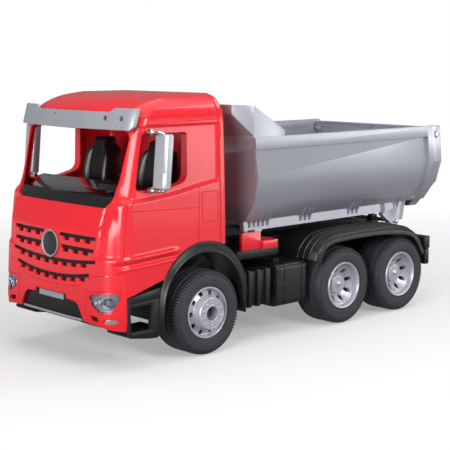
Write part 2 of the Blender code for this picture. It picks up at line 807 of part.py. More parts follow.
def leaning_prism(name, outline, y_low, y_high, material):
    """An (x, z) outline extruded along Y, with both ends leaning like the bucket."""
    made = prism(name, outline, "y", y_low, y_high, material)
    for vertex in made.data.vertices:
        vertex.co.y = lean_y(vertex.co.y, vertex.co.z)
    return made


def gate_rods(name, near, far, radius, material):
    """A cylinder about the tailgate's axis on each side."""
    found = []
    for side in SIDES.values():
        low, high = sorted((side * near, side * far))
        found.append(rod(f"{name}_{side}", low, high, radius, GATE_Y, GATE_Z, 12, material))
    return found


def make_bucket(look):
    grey = look["grey"]
    outer = mirrored(BUCKET_HALF)
    inner = mirrored([(INNER_HALF[0][0], 0.30), *INNER_HALF])
    bucket = leaning_prism("tipper_bucket", outer, TIPPER_FRONT, TIPPER_END - 0.001, grey)
    flange = mirrored(FLANGE_HALF)
    collar = leaning_prism("bucket_flange", flange, TIPPER_END - FLANGE_LENGTH, TIPPER_END, grey)
    hollow = leaning_prism("bucket_hollow", inner, TIPPER_FRONT + WALL, TIPPER_END + 0.05, grey)
    rails = []
    for side in SIDES.values():
        near, far = side * 0.1210, side * 0.1255
        band = [(near, 0.2580), (far, 0.2580), (far, RAIL_TOP), (near, RAIL_TOP)]
        front, rear = TIPPER_FRONT - 0.0005, TIPPER_END - 0.010
        rails.append(leaning_prism(f"bucket_rail_{side}", band, front, rear, grey))
    fuse(bucket, collar, *rails)
    carve(bucket, hollow)
    carve(bucket, *gate_rods("gate_bore", 0.100, 0.140, BORE_RADIUS, grey))
    fuse(bucket, make_canopy(grey))
    return bucket


def make_canopy(material):
    """Hood over the front wall: a short front, two corner gussets and two sloping wings."""
    low_y = lean_y(TIPPER_FRONT, RAIL_TOP)
    sheet_faces = []
    points = []

    def corner(x, y, z):
        points.append((x, y, z))
        return len(points) - 1

    rows = {}
    for side in (1, -1):
        rows[side] = {
            "root": corner(side * 0.1219, low_y + 0.0005, RAIL_TOP - 0.006),
            "base": corner(side * 0.1219, low_y, RAIL_TOP + 0.002),
            "hood_low": corner(side * 0.1035, -0.1070, 0.3035),
            "hood_high": corner(side * 0.1035, -0.1070, 0.3155),
            "wing_high": corner(side * 0.1219, -0.0845, 0.3145),
            "end_high": corner(side * 0.1219, -0.0270, 0.2805),
            "end_low": corner(side * 0.1219, -0.0270, RAIL_TOP - 0.006),
        }
    left, right = rows[1], rows[-1]
    for row in (left, right):
        sheet_faces.append([row[key] for key in ("root", "base", "wing_high", "end_high", "end_low")])
        sheet_faces.append([row[key] for key in ("base", "hood_low", "hood_high", "wing_high")])
    for low, high in (("root", "base"), ("base", "hood_low"), ("hood_low", "hood_high")):
        sheet_faces.append([left[low], left[high], right[high], right[low]])
    made = solid("bucket_canopy", points, sheet_faces, material)
    work = bmesh.new()
    work.from_mesh(made.data)
    work.normal_update()
    hood = min(work.faces, key=lambda face: face.calc_center_median().y)
    if hood.normal.y > 0:
        bmesh.ops.reverse_faces(work, faces=work.faces)
    work.to_mesh(made.data)
    work.free()
    thick = made.modifiers.new("sheet", "SOLIDIFY")
    thick.thickness = WALL
    thick.offset = -1
    thick.use_even_offset = True
    return made


def make_subframe(look):
    grey = look["grey"]
    top = BUCKET_FLOOR - GAP
    frame = box("tipper_subframe", (-0.080, -0.0300, 0.1450), (0.080, -0.0220, top), grey)
    parts = []
    for i, y in enumerate((0.100, 0.215)):
        parts.append(box(f"sub_cross_{i}", (-0.080, y - 0.004, 0.1450), (0.080, y + 0.004, top), grey))
    for side in SIDES.values():
        rail = [(-0.0680, 0.1445), (0.2300, 0.1445), (0.2300, top), (-0.0680, top)]
        parts.append(side_prism(f"sub_rail_{side}", rail, side, 0.0785, 0.0855, grey))
        foot = [(-0.0690, top), (-0.0655, 0.1375), (-0.0385, 0.1375), (-0.0330, 0.1445)]
        foot += [(-0.0200, 0.1500), (-0.0200, top)]
        parts.append(side_prism(f"sub_foot_{side}", foot, side, 0.0780, 0.0860, grey))
        ear = [(0.2242, top), (0.2232, 0.1400), (0.2462, 0.1228), (0.2500, 0.1215), (0.2570, 0.1215)]
        ear += [(0.2600, 0.1245), (0.2725, 0.1450), (0.2725, top)]
        parts.append(side_prism(f"sub_ear_{side}", ear, side, 0.0775, 0.0865, grey))
    fuse(frame, *parts)
    cuts = [rod("sub_bore", -0.2, 0.2, BORE_RADIUS, HINGE_Y, HINGE_Z, 12, grey)]
    for side in SIDES.values():
        low, high = (0.070, -0.0600, 0.1400), (0.095, -0.0470, 0.1455)
        cuts.append(side_box(f"catch_hole_{side}", side, low, high, grey))
    carve(frame, *cuts)
    rod("tipper_pin", -0.0905, 0.0905, AXLE_RADIUS, HINGE_Y, HINGE_Z, 12, look["steel"])
    return frame


def make_tailgate(look):
    grey = look["grey"]
    half = [(x - GATE_CLEAR, z) for x, z in INNER_HALF]
    half[-1] = (half[-1][0], half[-1][1] + GATE_CLEAR)
    half[-2] = (half[-2][0], half[-2][1] + GATE_CLEAR / 2)
    half.insert(0, (half[0][0], RAIL_TOP - 0.002))
    place = GATE_Y + TIPPER_LEAN * (GATE_Z - CREASE_Z)
    gate = leaning_prism("tailgate", mirrored(half), place - WALL / 2, place + WALL / 2, grey)
    fuse(gate, *gate_rods("gate_knuckle", 0.1040, 0.1172, 0.0055, grey))
    carve(gate, *gate_rods("gate_pin_bore", 0.1060, 0.1300, BORE_RADIUS, grey))
    put_origin(gate, (0, GATE_Y, GATE_Z))
    shank, head = 0.0030, 0.0042
    profile = [(0.1065, 0), (0.1065, shank), (0.1268, shank), (0.1268, head), (0.1285, head)]
    profile.append((0.1285, 0))
    centre = (0, GATE_Y, GATE_Z)
    pins = []
    for name, side in SIDES.items():
        label = f"tailgate_pin_{name}"
        pins.append(turned(label, profile, 12, look["steel"], side, centre, closed=False))
    return [gate, *pins]


def make_latch(look):
    red = look["red"]
    base = SHELF_TOP + GAP
    latch = box("latch_slider", (0.0600, -0.0480, base), (0.1030, -0.0195, 0.1318), red)
    post = box("latch_post", (0.0925, -0.0820, base), (0.0975, -0.0470, 0.1445), red)
    tongue = box("latch_tongue", (0.0868, -0.0580, 0.1415), (0.0935, -0.0490, 0.1440), red)
    fuse(latch, post, tongue)


def make_tipper(look):
    axis = axis_empty("tipper_axis", (0, HINGE_Y, HINGE_Z))
    pieces = [make_bucket(look), make_subframe(look), *make_tailgate(look)]
    attach(axis, *pieces)


# ---------------------------------------------------------------- whole truck
def clear_scene():
    for old in list(bpy.data.objects):
        bpy.data.objects.remove(old, do_unlink=True)


def main():
    clear_scene()
    look = make_finishes()
    make_chassis(look)
    make_axles(look)
    make_side_boxes(look)
    make_rear_bumper(look)
    make_front_fenders(look)
    make_rear_fenders(look)
    for place in AXLE_Y:
        for side_name in SIDES:
            make_wheel(place, side_name, look)
    make_cab_shell(look)
    make_bumper(look)
    make_grille(look)
    make_visor(look)
    make_interior(look)
    make_mirrors(look)
    make_latch(look)
    make_tipper(look)


main()
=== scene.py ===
"""Looks of the push-along toy dump truck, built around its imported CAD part.

Metres, +Z up. The truck drives towards -Y and its left side is +X, as in the CAD.
"""

import math

import bmesh
import bpy
import numpy as np
from mathutils import Matrix, Vector


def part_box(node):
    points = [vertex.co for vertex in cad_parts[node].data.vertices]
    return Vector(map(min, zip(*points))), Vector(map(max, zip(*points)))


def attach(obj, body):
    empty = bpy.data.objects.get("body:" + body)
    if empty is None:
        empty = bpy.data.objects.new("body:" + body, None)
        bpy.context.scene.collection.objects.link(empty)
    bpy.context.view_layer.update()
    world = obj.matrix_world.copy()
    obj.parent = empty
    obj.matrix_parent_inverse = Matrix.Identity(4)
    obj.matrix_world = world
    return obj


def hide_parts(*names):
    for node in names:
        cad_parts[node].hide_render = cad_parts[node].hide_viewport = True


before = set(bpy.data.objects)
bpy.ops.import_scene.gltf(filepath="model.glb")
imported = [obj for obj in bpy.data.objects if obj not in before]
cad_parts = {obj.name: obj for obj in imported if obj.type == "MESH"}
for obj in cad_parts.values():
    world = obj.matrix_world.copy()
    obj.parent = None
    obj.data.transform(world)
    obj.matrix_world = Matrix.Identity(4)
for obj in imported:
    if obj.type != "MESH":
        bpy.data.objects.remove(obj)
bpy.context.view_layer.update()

SIDES = {"left": 1, "right": -1}
WALL = 0.003
GAP = 0.0003
# How far cutters reach past the truck: ahead of the cab, and out to each side.
CUT_FRONT, CUT_SIDE = -0.350, 0.2
# Where cutters from the front end: grille slots, openings in the front walls, the whole bumper.
SLOT_END, OPENING_END, BUMPER_END = -0.290, -0.262, -0.200


# ---------------------------------------------------------------- mesh helpers
def link(name, mesh):
    made = bpy.data.objects.new(name, mesh)
    bpy.context.scene.collection.objects.link(made)
    return made


def solid(name, points, faces):
    """A closed mesh object with its faces turned outwards."""
    work = bmesh.new()
    corners = [work.verts.new(point) for point in points]
    for face in faces:
        work.faces.new([corners[i] for i in face])
    bmesh.ops.recalc_face_normals(work, faces=work.faces)
    mesh = bpy.data.meshes.new(name)
    work.to_mesh(mesh)
    work.free()
    return link(name, mesh)


def prism(name, outline, axis, low, high):
    """An outline extruded along an axis: (y, z) along x, (x, z) along y or (x, y) along z."""
    place = {
        "x": lambda a, b, t: (t, a, b),
        "y": lambda a, b, t: (a, t, b),
        "z": lambda a, b, t: (a, b, t),
    }[axis]
    count = len(outline)
    points = [place(a, b, t) for t in (low, high) for a, b in outline]
    faces = [tuple(range(count)), tuple(range(count, 2 * count))]
    for i in range(count):
        j = (i + 1) % count
        faces.append((i, j, j + count, i + count))
    return solid(name, points, faces)


def box(name, low, high):
    outline = [(low[1], low[2]), (high[1], low[2]), (high[1], high[2]), (low[1], high[2])]
    return prism(name, outline, "x", low[0], high[0])


def side_prism(name, outline, side, near, far):
    low, high = sorted((side * near, side * far))
    return prism(name, outline, "x", low, high)


def side_box(name, side, low, high):
    x_low, x_high = sorted((side * low[0], side * high[0]))
    return box(name, (x_low, low[1], low[2]), (x_high, high[1], high[2]))


def turned(name, profile, sides, closed=True, turn_shift=0.0):
    """A profile of (distance along X, radius) turned about the X axis."""
    points, rings = [], []
    for along, radius in profile:
        if radius == 0:
            rings.append([len(points)] * sides)
            points.append((along, 0.0, 0.0))
            continue
        rings.append(list(range(len(points), len(points) + sides)))
        for i in range(sides):
            turn = 2 * math.pi * (i + turn_shift) / sides
            points.append((along, radius * math.sin(turn), radius * math.cos(turn)))
    faces = []
    pairs = list(zip(rings, rings[1:] + rings[:1]))
    for ring, following in pairs if closed else pairs[:-1]:
        for i in range(sides):
            j = (i + 1) % sides
            corners = dict.fromkeys((ring[i], ring[j], following[j], following[i]))
            if len(corners) > 2:
                faces.append(tuple(corners))
    return solid(name, points, faces)


def rounded(outline, radius, steps=4):
    """An outline with each corner rounded, as far as its edges leave room."""
    found = []
    count = len(outline)
    radii = radius if isinstance(radius, (list, tuple)) else [radius] * count
    for i, point in enumerate(outline):
        here = Vector(point)
        before, after = Vector(outline[i - 1]) - here, Vector(outline[(i + 1) % count]) - here
        half_angle = before.angle(after) / 2
        reach = radii[i] / max(math.tan(half_angle), 1e-6)
        reach = min(reach, 0.48 * before.length, 0.48 * after.length)
        start, end = here + before.normalized() * reach, here + after.normalized() * reach
        for k in range(steps + 1):
            t = k / steps
            bent = start * (1 - t) ** 2 + here * 2 * t * (1 - t) + end * t * t
            found.append(tuple(bent))
    return found


def wall_faces(count, rings):
    """Faces of the wall between following rings of the same number of points."""
    faces = []
    for level in range(rings - 1):
        for i in range(count):
            j = (i + 1) % count
            a, b = level * count + i, level * count + j
            faces.append((a, b, b + count, a + count))
    return faces


def bake(made):
    """Applies the object's modifiers to its mesh."""
    graph = bpy.context.evaluated_depsgraph_get()
    mesh = bpy.data.meshes.new_from_object(made.evaluated_get(graph))
    made.modifiers.clear()
    made.data = mesh
    return made


def boolean(target, operation, cutters, solver="MANIFOLD"):
    for cutter in cutters:
        step = target.modifiers.new("step", "BOOLEAN")
        step.operation = operation
        step.solver = solver
        step.object = cutter
    bake(target)
    for cutter in cutters:
        bpy.data.objects.remove(cutter)
    return target


def carve(target, *cutters, **how):
    return boolean(target, "DIFFERENCE", cutters, **how)


def fuse(target, *others, **how):
    return boolean(target, "UNION", others, **how)


def keep(target, *others, **how):
    return boolean(target, "INTERSECT", others, **how)


def soften(made, width, segments=2, angle=30):
    """Rounds the edges sharper than the angle."""
    step = made.modifiers.new("edges", "BEVEL")
    step.width = width
    step.segments = segments
    step.limit_method = "ANGLE"
    step.angle_limit = math.radians(angle)
    step.use_clamp_overlap = True
    step.miter_outer = "MITER_ARC"
    return bake(made)


def shade(made, angle=35):
    made.data.shade_smooth()
    made.data.set_sharp_from_angle(angle=math.radians(angle))
    return made


def from_cad(node, name):
    """A new mesh with the shape of a CAD node, its flat faces joined."""
    work = bmesh.new()
    work.from_mesh(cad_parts[node].data)
    bmesh.ops.remove_doubles(work, verts=work.verts, dist=1e-6)
    bmesh.ops.dissolve_limit(
        work, angle_limit=math.radians(0.5), verts=work.verts, edges=work.edges
    )
    points = [v.co.copy() for v in work.verts]
    faces = [[v.index for v in f.verts] for f in work.faces]
    work.free()
    return solid(name, points, faces)


def tube(name, path, radius, sides=8):
    """A round bar that follows a path, with closed ends."""
    points, faces = [], []
    path = [Vector(p) for p in path]
    before = None
    for i, here in enumerate(path):
        along = (path[min(i + 1, len(path) - 1)] - path[max(i - 1, 0)]).normalized()
        across = before - along * before.dot(along) if before else along.orthogonal()
        across.normalize()
        before = across
        up = along.cross(across)
        for k in range(sides):
            turn = 2 * math.pi * k / sides
            points.append(here + across * radius * math.cos(turn) + up * radius * math.sin(turn))
    for i in range(len(path) - 1):
        for k in range(sides):
            j = (k + 1) % sides
            faces.append((i * sides + k, i * sides + j, (i + 1) * sides + j, (i + 1) * sides + k))
    faces.append(tuple(range(sides)))
    faces.append(tuple(range((len(path) - 1) * sides, len(path) * sides)))
    return solid(name, points, faces)


def dense(line, spacing=0.006):
    """A polyline with points added so that none are further apart than the spacing."""
    found = [tuple(line[0])]
    for a, b in zip(line, line[1:]):
        steps = max(1, math.ceil(math.dist(a, b) / spacing))
        for k in range(1, steps + 1):
            found.append(tuple(p + (q - p) * k / steps for p, q in zip(a, b)))
    return found





def flipped(made, name):
    """The mirror image of a piece on the other side of the truck."""
    copy = link(name, made.data.copy())
    copy.data.transform(Matrix.Scale(-1, 4, (1, 0, 0)))
    copy.data.flip_normals()
    return copy


def place(made, body, slot, material, *nodes):
    made.data.materials.clear()
    made.data.materials.append(material)
    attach(made, body)
    if nodes:
        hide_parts(*nodes)
    return made


def place_pair(made, right_name, slot, material, node=None):
    """Place a left-hand piece of the chassis, and its mirror image."""
    right = flipped(made, right_name)
    for piece, side in ((right, "right"), (made, "left")):
        place(piece, "chassis", slot, material, *([f"{node}_{side}"] if node else []))


# ---------------------------------------------------------------- materials
def node_of(tree, kind, **values):
    made = tree.nodes.new(kind)
    for key, value in values.items():
        if key in made.inputs:
            made.inputs[key].default_value = value
        else:
            setattr(made, key, value)
    return made


def noise(tree, where, scale, detail=2.0, roughness=0.5):
    made = node_of(tree, "ShaderNodeTexNoise", Scale=scale, Detail=detail, Roughness=roughness)
    tree.links.new(where, made.inputs["Vector"])
    return made.outputs["Fac"]


def mapped(tree, value, low, high, start=0.3, end=0.7):
    made = tree.nodes.new("ShaderNodeMapRange")
    for key, number in (("From Min", start), ("From Max", end), ("To Min", low), ("To Max", high)):
        made.inputs[key].default_value = number
    tree.links.new(value, made.inputs["Value"])
    return made.outputs["Result"]


def ramp(tree, value, stops):
    made = tree.nodes.new("ShaderNodeValToRGB")
    points = made.color_ramp.elements
    while len(points) < len(stops):
        points.new(0.5)
    for point, (at, colour) in zip(points, stops):
        point.position = at
        point.color = (*colour, 1)
    tree.links.new(value, made.inputs["Fac"])
    return made.outputs["Color"]


def bump(tree, height, strength, distance, before=None):
    made = node_of(tree, "ShaderNodeBump", Strength=strength, Distance=distance)
    tree.links.new(height, made.inputs["Height"])
    if before:
        tree.links.new(before, made.inputs["Normal"])
    return made.outputs["Normal"]


def tinted(colour, share):
    return tuple(min(1.0, max(0.0, c * share)) for c in colour)


def finish(name, colour, roughness, grain=1500, grain_depth=0.05, wave=35, wave_depth=0.04,
           spread=0.05, tone=0.06, metallic=0.0, coat=0.0, specular=0.5, mottle=14):
    """A moulded finish: slow colour drift, uneven gloss, fine surface grain and slow mould waves."""
    made = bpy.data.materials.new(name)
    made.use_nodes = True
    tree = made.node_tree
    shader = tree.nodes["Principled BSDF"]
    shader.inputs["Metallic"].default_value = metallic
    shader.inputs["Coat Weight"].default_value = coat
    shader.inputs["Coat Roughness"].default_value = 0.08
    shader.inputs["Specular IOR Level"].default_value = specular
    where = tree.nodes.new("ShaderNodeTexCoord").outputs["Object"]
    drift = noise(tree, where, mottle, 3.0)
    stops = [(0.3, tinted(colour, 1 - tone)), (0.7, tinted(colour, 1 + tone))]
    tree.links.new(ramp(tree, drift, stops), shader.inputs["Base Color"])
    gloss = mapped(tree, noise(tree, where, 160, 4.0, 0.6), roughness - spread, roughness + spread)
    tree.links.new(gloss, shader.inputs["Roughness"])
    slow = bump(tree, noise(tree, where, wave, 1.0), wave_depth, 0.004)
    fine = bump(tree, noise(tree, where, grain, 2.0), grain_depth, 0.0004, slow)
    tree.links.new(fine, shader.inputs["Normal"])
    return made


def make_finishes():
    return {
        "red": finish("red_gloss", (0.78, 0.016, 0.028), 0.22, grain=1100, grain_depth=0.035,
                      tone=0.03, coat=0.30),
        "grey": finish("grey_satin", (0.50, 0.51, 0.57), 0.34, metallic=0.60, grain_depth=0.006,
                       wave_depth=0.008, spread=0.02, tone=0.03),
        "black": finish("black_satin", (0.0085, 0.0085, 0.0100), 0.36, grain=1800,
                        grain_depth=0.20, tone=0.2, specular=0.45),
        "black_gloss": finish("black_gloss", (0.004, 0.004, 0.005), 0.16, tone=0.2, coat=0.3),
        # Dark matt for the plate behind the wheel windows: painted shade in place of the shadow inside the
        # rim.
        "dark": finish("painted_shadow_matt", (0.004, 0.004, 0.005), 0.6, grain_depth=0.2, tone=0.2,
                       specular=0.2),
        "silver": finish("silver_paint", (0.36, 0.385, 0.42), 0.42, metallic=0.30, grain=2600,
                         grain_depth=0.006, wave_depth=0.02, tone=0.05),
        "mirror": finish("silver_mould", (0.43, 0.46, 0.49), 0.32, metallic=0.25, grain=1700,
                         grain_depth=0.008, wave_depth=0.02, tone=0.03),
        "chrome": finish("bright_chrome", (0.60, 0.61, 0.63), 0.12, metallic=1.0, grain_depth=0.02,
                         tone=0.04, spread=0.03),
        "steel": finish("drawn_steel", (0.62, 0.62, 0.63), 0.28, metallic=1.0, grain=900,
                        grain_depth=0.12, tone=0.08),
        "rim": finish("rim_satin", (0.52, 0.525, 0.585), 0.32, metallic=0.45, grain=1600,
                      grain_depth=0.012, wave_depth=0.015, tone=0.04),
        "hub": finish("hub_dark", (0.075, 0.078, 0.088), 0.35, metallic=0.2, tone=0.1),
        "tyre": finish("tyre_rubber", (0.040, 0.038, 0.046), 0.55, grain=1300, grain_depth=0.30,
                       tone=0.12, spread=0.08, specular=0.35),
        "lamp_shell": finish("lamp_shell", (0.40, 0.40, 0.43), 0.24, metallic=0.5, tone=0.08),
        "lamp_ring": finish("lamp_ring", (0.62, 0.63, 0.68), 0.18, metallic=0.7, tone=0.05),
        "lamp_core": finish("lamp_core", (0.24, 0.25, 0.31), 0.15, metallic=0.4, tone=0.1),
        "seat": finish("seat_black", (0.005, 0.005, 0.006), 0.34, grain_depth=0.08, tone=0.15),
        "dash": finish("dash_black", (0.006, 0.006, 0.007), 0.13, grain_depth=0.03, tone=0.15,
                       spread=0.03, coat=0.5),
    }


def clear_plastic(name):
    """A clear cover with faint ripples and uneven gloss."""
    made = bpy.data.materials.new(name)
    made.use_nodes = True
    tree = made.node_tree
    shader = tree.nodes["Principled BSDF"]
    shader.inputs["Transmission Weight"].default_value = 1.0
    shader.inputs["IOR"].default_value = 1.18
    where = tree.nodes.new("ShaderNodeTexCoord").outputs["Object"]
    shades = [(0.3, (0.90, 0.91, 0.95)), (0.7, (0.97, 0.97, 1.0))]
    tree.links.new(ramp(tree, noise(tree, where, 20, 2.0), shades), shader.inputs["Base Color"])
    gloss = mapped(tree, noise(tree, where, 200, 2.0), 0.03, 0.08)
    tree.links.new(gloss, shader.inputs["Roughness"])
    ripple = bump(tree, noise(tree, where, 150, 1.0), 0.04, 0.002)
    tree.links.new(ripple, shader.inputs["Normal"])
    return made


# ---------------------------------------------------------------- cab surface
# Height, half width, front at the middle, sweep back at the corner's start, start of the flank.
CAB_LEVELS = (
    (0.050, 0.1190, -0.3208, 0.0025, -0.2885),
    (0.066, 0.1205, -0.3220, 0.0025, -0.2875),
    (0.110, 0.1210, -0.3205, 0.0030, -0.2820),
    (0.165, 0.1210, -0.3175, 0.0045, -0.2820),
    (0.200, 0.1205, -0.3062, 0.0030, -0.2850),
    (0.212, 0.1203, -0.3032, 0.0075, -0.2775),
    (0.290, 0.1180, -0.2862, 0.0090, -0.2595),
    (0.303, 0.1165, -0.2815, 0.0090, -0.2550),
    (0.313, 0.1130, -0.2730, 0.0090, -0.2450),
    (0.321, 0.1070, -0.2600, 0.0090, -0.2330),
    (0.327, 0.0990, -0.2430, 0.0080, -0.2180),
    (0.331, 0.0860, -0.2200, 0.0070, -0.2000),
)
CAB_TOP = CAB_LEVELS[-1][0]
CORNER_WIDTH = 0.026
CAB_REAR = -0.131
REAR_ROUND = 0.006
GRILLE_ROWS = (
    (0.0165, 0.0860, 0.1608, 0.1608),
    (0.0215, 0.0840, 0.1462, 0.1462),
    (0.0, 0.0880, 0.1280, 0.1335),
    (0.0, 0.0775, 0.1090, 0.1165),
)
# Middles of the square notches that hang below each grille row.
GRILLE_NOTCHES = (
    (0.0312, 0.0522, 0.0715),
    (0.0305, 0.0500, 0.0685),
    (0.0095, 0.0285, 0.0468, 0.0660),
    (0.0092, 0.0278, 0.0452, 0.0638),
)
SLOT_HEIGHT = 0.0046
NOTCH_HALF_TOP, NOTCH_HALF_LOW, NOTCH_DEPTH = 0.0062, 0.0054, 0.0066
WINDSHIELD_HALF = ((0.0904, 0.1978), (0.0985, 0.2048), (0.1055, 0.2890))
BUMPER_SEAM_HALF = (
    (0.0000, 0.0972),
    (0.0400, 0.0985),
    (0.0600, 0.1022),
    (0.0715, 0.1075),
    (0.0790, 0.1140),
    (0.0860, 0.1162),
    (0.1000, 0.1180),
    (0.1110, 0.1205),
    (0.1300, 0.1215),
)
BUMPER_HEM_HALF = ((0.0670, 0.0589), (0.0980, 0.0566), (0.1120, 0.0527), (0.1200, 0.0495))
BUMPER_REAR = -0.2937
SIDE_WINDOW = (
    (-0.2662, 0.2862),
    (-0.1950, 0.2856),
    (-0.1960, 0.2250),
    (-0.2250, 0.2180),
    (-0.2780, 0.2180),
)
WINDOW_ROUNDS = (0.005, 0.005, 0.014, 0.020, 0.006)
SIDE_HEM = ((-0.340, 0.0912), (-0.2934, 0.0912), (-0.2400, 0.1060), (-0.2000, 0.1060))
ARCH_OUTER = ((-0.1696, 0.0720), 0.0753)
ARCH_INNER = ((-0.1742, 0.0674), 0.0661)
HEADLIGHT = (
    (0.0775, 0.0905),
    (0.0840, 0.0940),
    (0.1050, 0.0962),
    (0.1160, 0.0972),
    (0.1160, 0.0880),
    (0.1130, 0.0780),
    (0.1060, 0.0742),
    (0.0940, 0.0748),
    (0.0830, 0.0800),
)
FOG_LAMP = ((0.1020, 0.0612), (0.1150, 0.0600), (0.1165, 0.0655), (0.1060, 0.0660))
RECESS_HALF = (
    (0.0325, 0.0872),
    (0.0332, 0.0822),
    (0.0500, 0.0812),
    (0.0560, 0.0785),
    (0.0615, 0.0710),
    (0.0668, 0.0610),
    (0.0668, 0.0450),
)
LOG_Z = np.array([level[0] for level in CAB_LEVELS])
LOG_V = np.array([level[1:] for level in CAB_LEVELS])


def smooth_slopes():
    """Slopes for a cubic curve through the levels that doesn't overshoot them."""
    step = np.diff(LOG_Z)[:, None]
    rise = np.diff(LOG_V, axis=0) / step
    slopes = np.zeros_like(LOG_V)
    slopes[0], slopes[-1] = rise[0], rise[-1]
    for i in range(1, len(LOG_Z) - 1):
        a, b = rise[i - 1], rise[i]
        w1, w2 = 2 * step[i] + step[i - 1], step[i] + 2 * step[i - 1]
        same = a * b > 0
        safe_a, safe_b = np.where(same, a, 1.0), np.where(same, b, 1.0)
        slopes[i] = np.where(same, (w1 + w2) / (w1 / safe_a + w2 / safe_b), 0.0)
    return slopes


LOG_SLOPES = smooth_slopes()


def cab_values(z):
    """Half width, front, sweep and flank of the cab at a height."""
    z = min(max(z, LOG_Z[0]), LOG_Z[-1])
    i = min(int(np.searchsorted(LOG_Z, z, side="right")) - 1, len(LOG_Z) - 2)
    h = LOG_Z[i + 1] - LOG_Z[i]
    t = (z - LOG_Z[i]) / h
    a, b = LOG_V[i], LOG_V[i + 1]
    m, n = LOG_SLOPES[i] * h, LOG_SLOPES[i + 1] * h
    t2, t3 = t * t, t * t * t
    return (2 * t3 - 3 * t2 + 1) * a + (t3 - 2 * t2 + t) * m + (3 * t2 - 2 * t3) * b + (t3 - t2) * n


def front_curve(x, half, front, sweep, flank):
    """A front swept back towards its sides, with an elliptical corner at each end."""
    straight = half - CORNER_WIDTH
    x = min(abs(x), half)
    if x <= straight:
        return front + sweep * (x / straight) ** 2
    turn = math.asin(min(1.0, (x - straight) / CORNER_WIDTH))
    start = front + sweep
    return start + (flank - start) * (1 - math.cos(turn))


def front_y(x, z):
    """Where the cab's front surface lies at a place across and up."""
    return front_curve(x, *cab_values(z))


def side_x(y, z):
    """How far out the cab's side surface lies at a place along and up."""
    half, front, sweep, flank = cab_values(z)
    if y >= flank:
        return half
    start = front + sweep
    share = min(1.0, max(0.0, 1 - (y - start) / (flank - start)))
    return half - CORNER_WIDTH + CORNER_WIDTH * math.sin(math.acos(share))


def ease(value, low, high):
    """0 below low, 1 above high and a smooth step between."""
    t = min(1.0, max(0.0, (value - low) / (high - low)))
    return t * t * (3 - 2 * t)


def line_at(line, place):
    """The second value of a polyline at a place along its first value."""
    return float(np.interp(place, [p[0] for p in line], [p[1] for p in line]))


# Moulded relief, as lines of (y, z) on the flank or (z, x) on the front.
SWEEP_LOW = (
    (-0.2850, 0.2030), (-0.2568, 0.2045), (-0.2372, 0.2060),
    (-0.2086, 0.2095), (-0.1777, 0.2154), (-0.1440, 0.2200),
)
BELT_CREST = ((-0.3050, 0.1362), (-0.2634, 0.1382), (-0.2148, 0.1412), (-0.1400, 0.1440))
BELT_FOOT = ((-0.3050, 0.1262), (-0.2636, 0.1284), (-0.2211, 0.1309), (-0.1400, 0.1340))
HOOD_EDGE = ((0.1387, 0.0867), (0.1486, 0.0886), (0.1667, 0.0905), (0.1842, 0.0894), (0.1978, 0.0904))


def relief(x, y, z):
    """How far the moulded panels stand in (negative) or out at a place on the outer skin."""
    depth = 0.0
    if z < 0.31 and y > -0.300:
        sweep = line_at(SWEEP_LOW, y)
        inside = ease(z, sweep, sweep + 0.0065) * (1 - ease(z, 0.2925, 0.2965))
        inside *= ease(y, -0.2960, -0.2890) * (1 - ease(y, -0.1450, -0.1425))
        depth -= 0.0022 * inside
    if 0.118 < z < 0.152 and y > -0.3085:
        crest, foot = line_at(BELT_CREST, y), line_at(BELT_FOOT, y)
        reach = ease(y, -0.3085, -0.3030) * (1 - ease(y, -0.2200, -0.2120))
        depth += 0.0016 * math.exp(-(((z - crest) / 0.0032) ** 2)) * reach
        depth -= 0.0016 * math.exp(-(((z - foot - 0.0035) / 0.0026) ** 2)) * reach
        depth += 0.0008 * math.exp(-(((z - foot + 0.0015) / 0.0018) ** 2)) * reach
    if 0.136 < z < 0.203 and y < -0.296:
        edge = line_at(HOOD_EDGE, z)
        reach = ease(abs(x), edge - 0.0003, edge + 0.0022) * (1 - ease(y, -0.3040, -0.2980))
        reach *= ease(z, 0.136, 0.1415) * (1 - ease(z, 0.196, 0.203))
        depth -= 0.0022 * reach
    return depth


def level_heights(low, high):
    """Heights of the loft's rings, closer together where there is relief."""
    found, z = [], low
    while z < high - 1e-6:
        found.append(z)
        fine = 0.118 < z < 0.150 or 0.198 < z < 0.226 or 0.290 < z
        z += 0.0011 if fine else 0.0028
    if high - found[-1] < 0.0006:
        found.pop()
    return found + [high]


def ring_at(z, inset, rear, relieved):
    """The cab's outline at a height, from the middle of the front round to the rear."""
    z_read = z + inset if z > CAB_TOP - 0.06 else z
    half, front, sweep, flank = cab_values(z_read)
    half, front, flank = half - inset, front + inset, flank + inset
    straight = half - CORNER_WIDTH
    start = front + sweep
    left = [(straight * f, front + sweep * f * f) for f in np.linspace(0, 0.80, 13)]
    left += [(straight * f, front + sweep * f * f) for f in np.linspace(0.82, 0.99, 9)]
    for turn in np.linspace(0, math.pi / 2, 15):
        x = straight + CORNER_WIDTH * math.sin(turn)
        left.append((x, start + (flank - start) * (1 - math.cos(turn))))
    end = rear - REAR_ROUND
    left += [(half, flank + (end - flank) * f) for f in np.linspace(0, 1, 30)[1:]]
    for turn in np.linspace(0, math.pi / 2, 5)[1:]:
        left.append((half - REAR_ROUND * (1 - math.cos(turn)), end + REAR_ROUND * math.sin(turn)))
    left += [(half * f, rear) for f in (0.7, 0.35)]
    if relieved:
        moved = []
        for i, (x, y) in enumerate(left):
            ahead, behind = left[min(i + 1, len(left) - 1)], left[max(i - 1, 0)]
            out = Vector((-(behind[1] - ahead[1]), behind[0] - ahead[0]))
            out = out.normalized() if out.length > 1e-9 else Vector((0, -1))
            if out.dot(Vector((x, y + 0.2))) < 0:
                out = -out
            out *= relief(x, y, z)
            moved.append((x + out.x, y + out.y) if x > 0 else (x, y + out.y))
        left = moved
    right = [(-x, y) for x, y in reversed(left) if x > 0]
    return left + [(0.0, rear)] + right


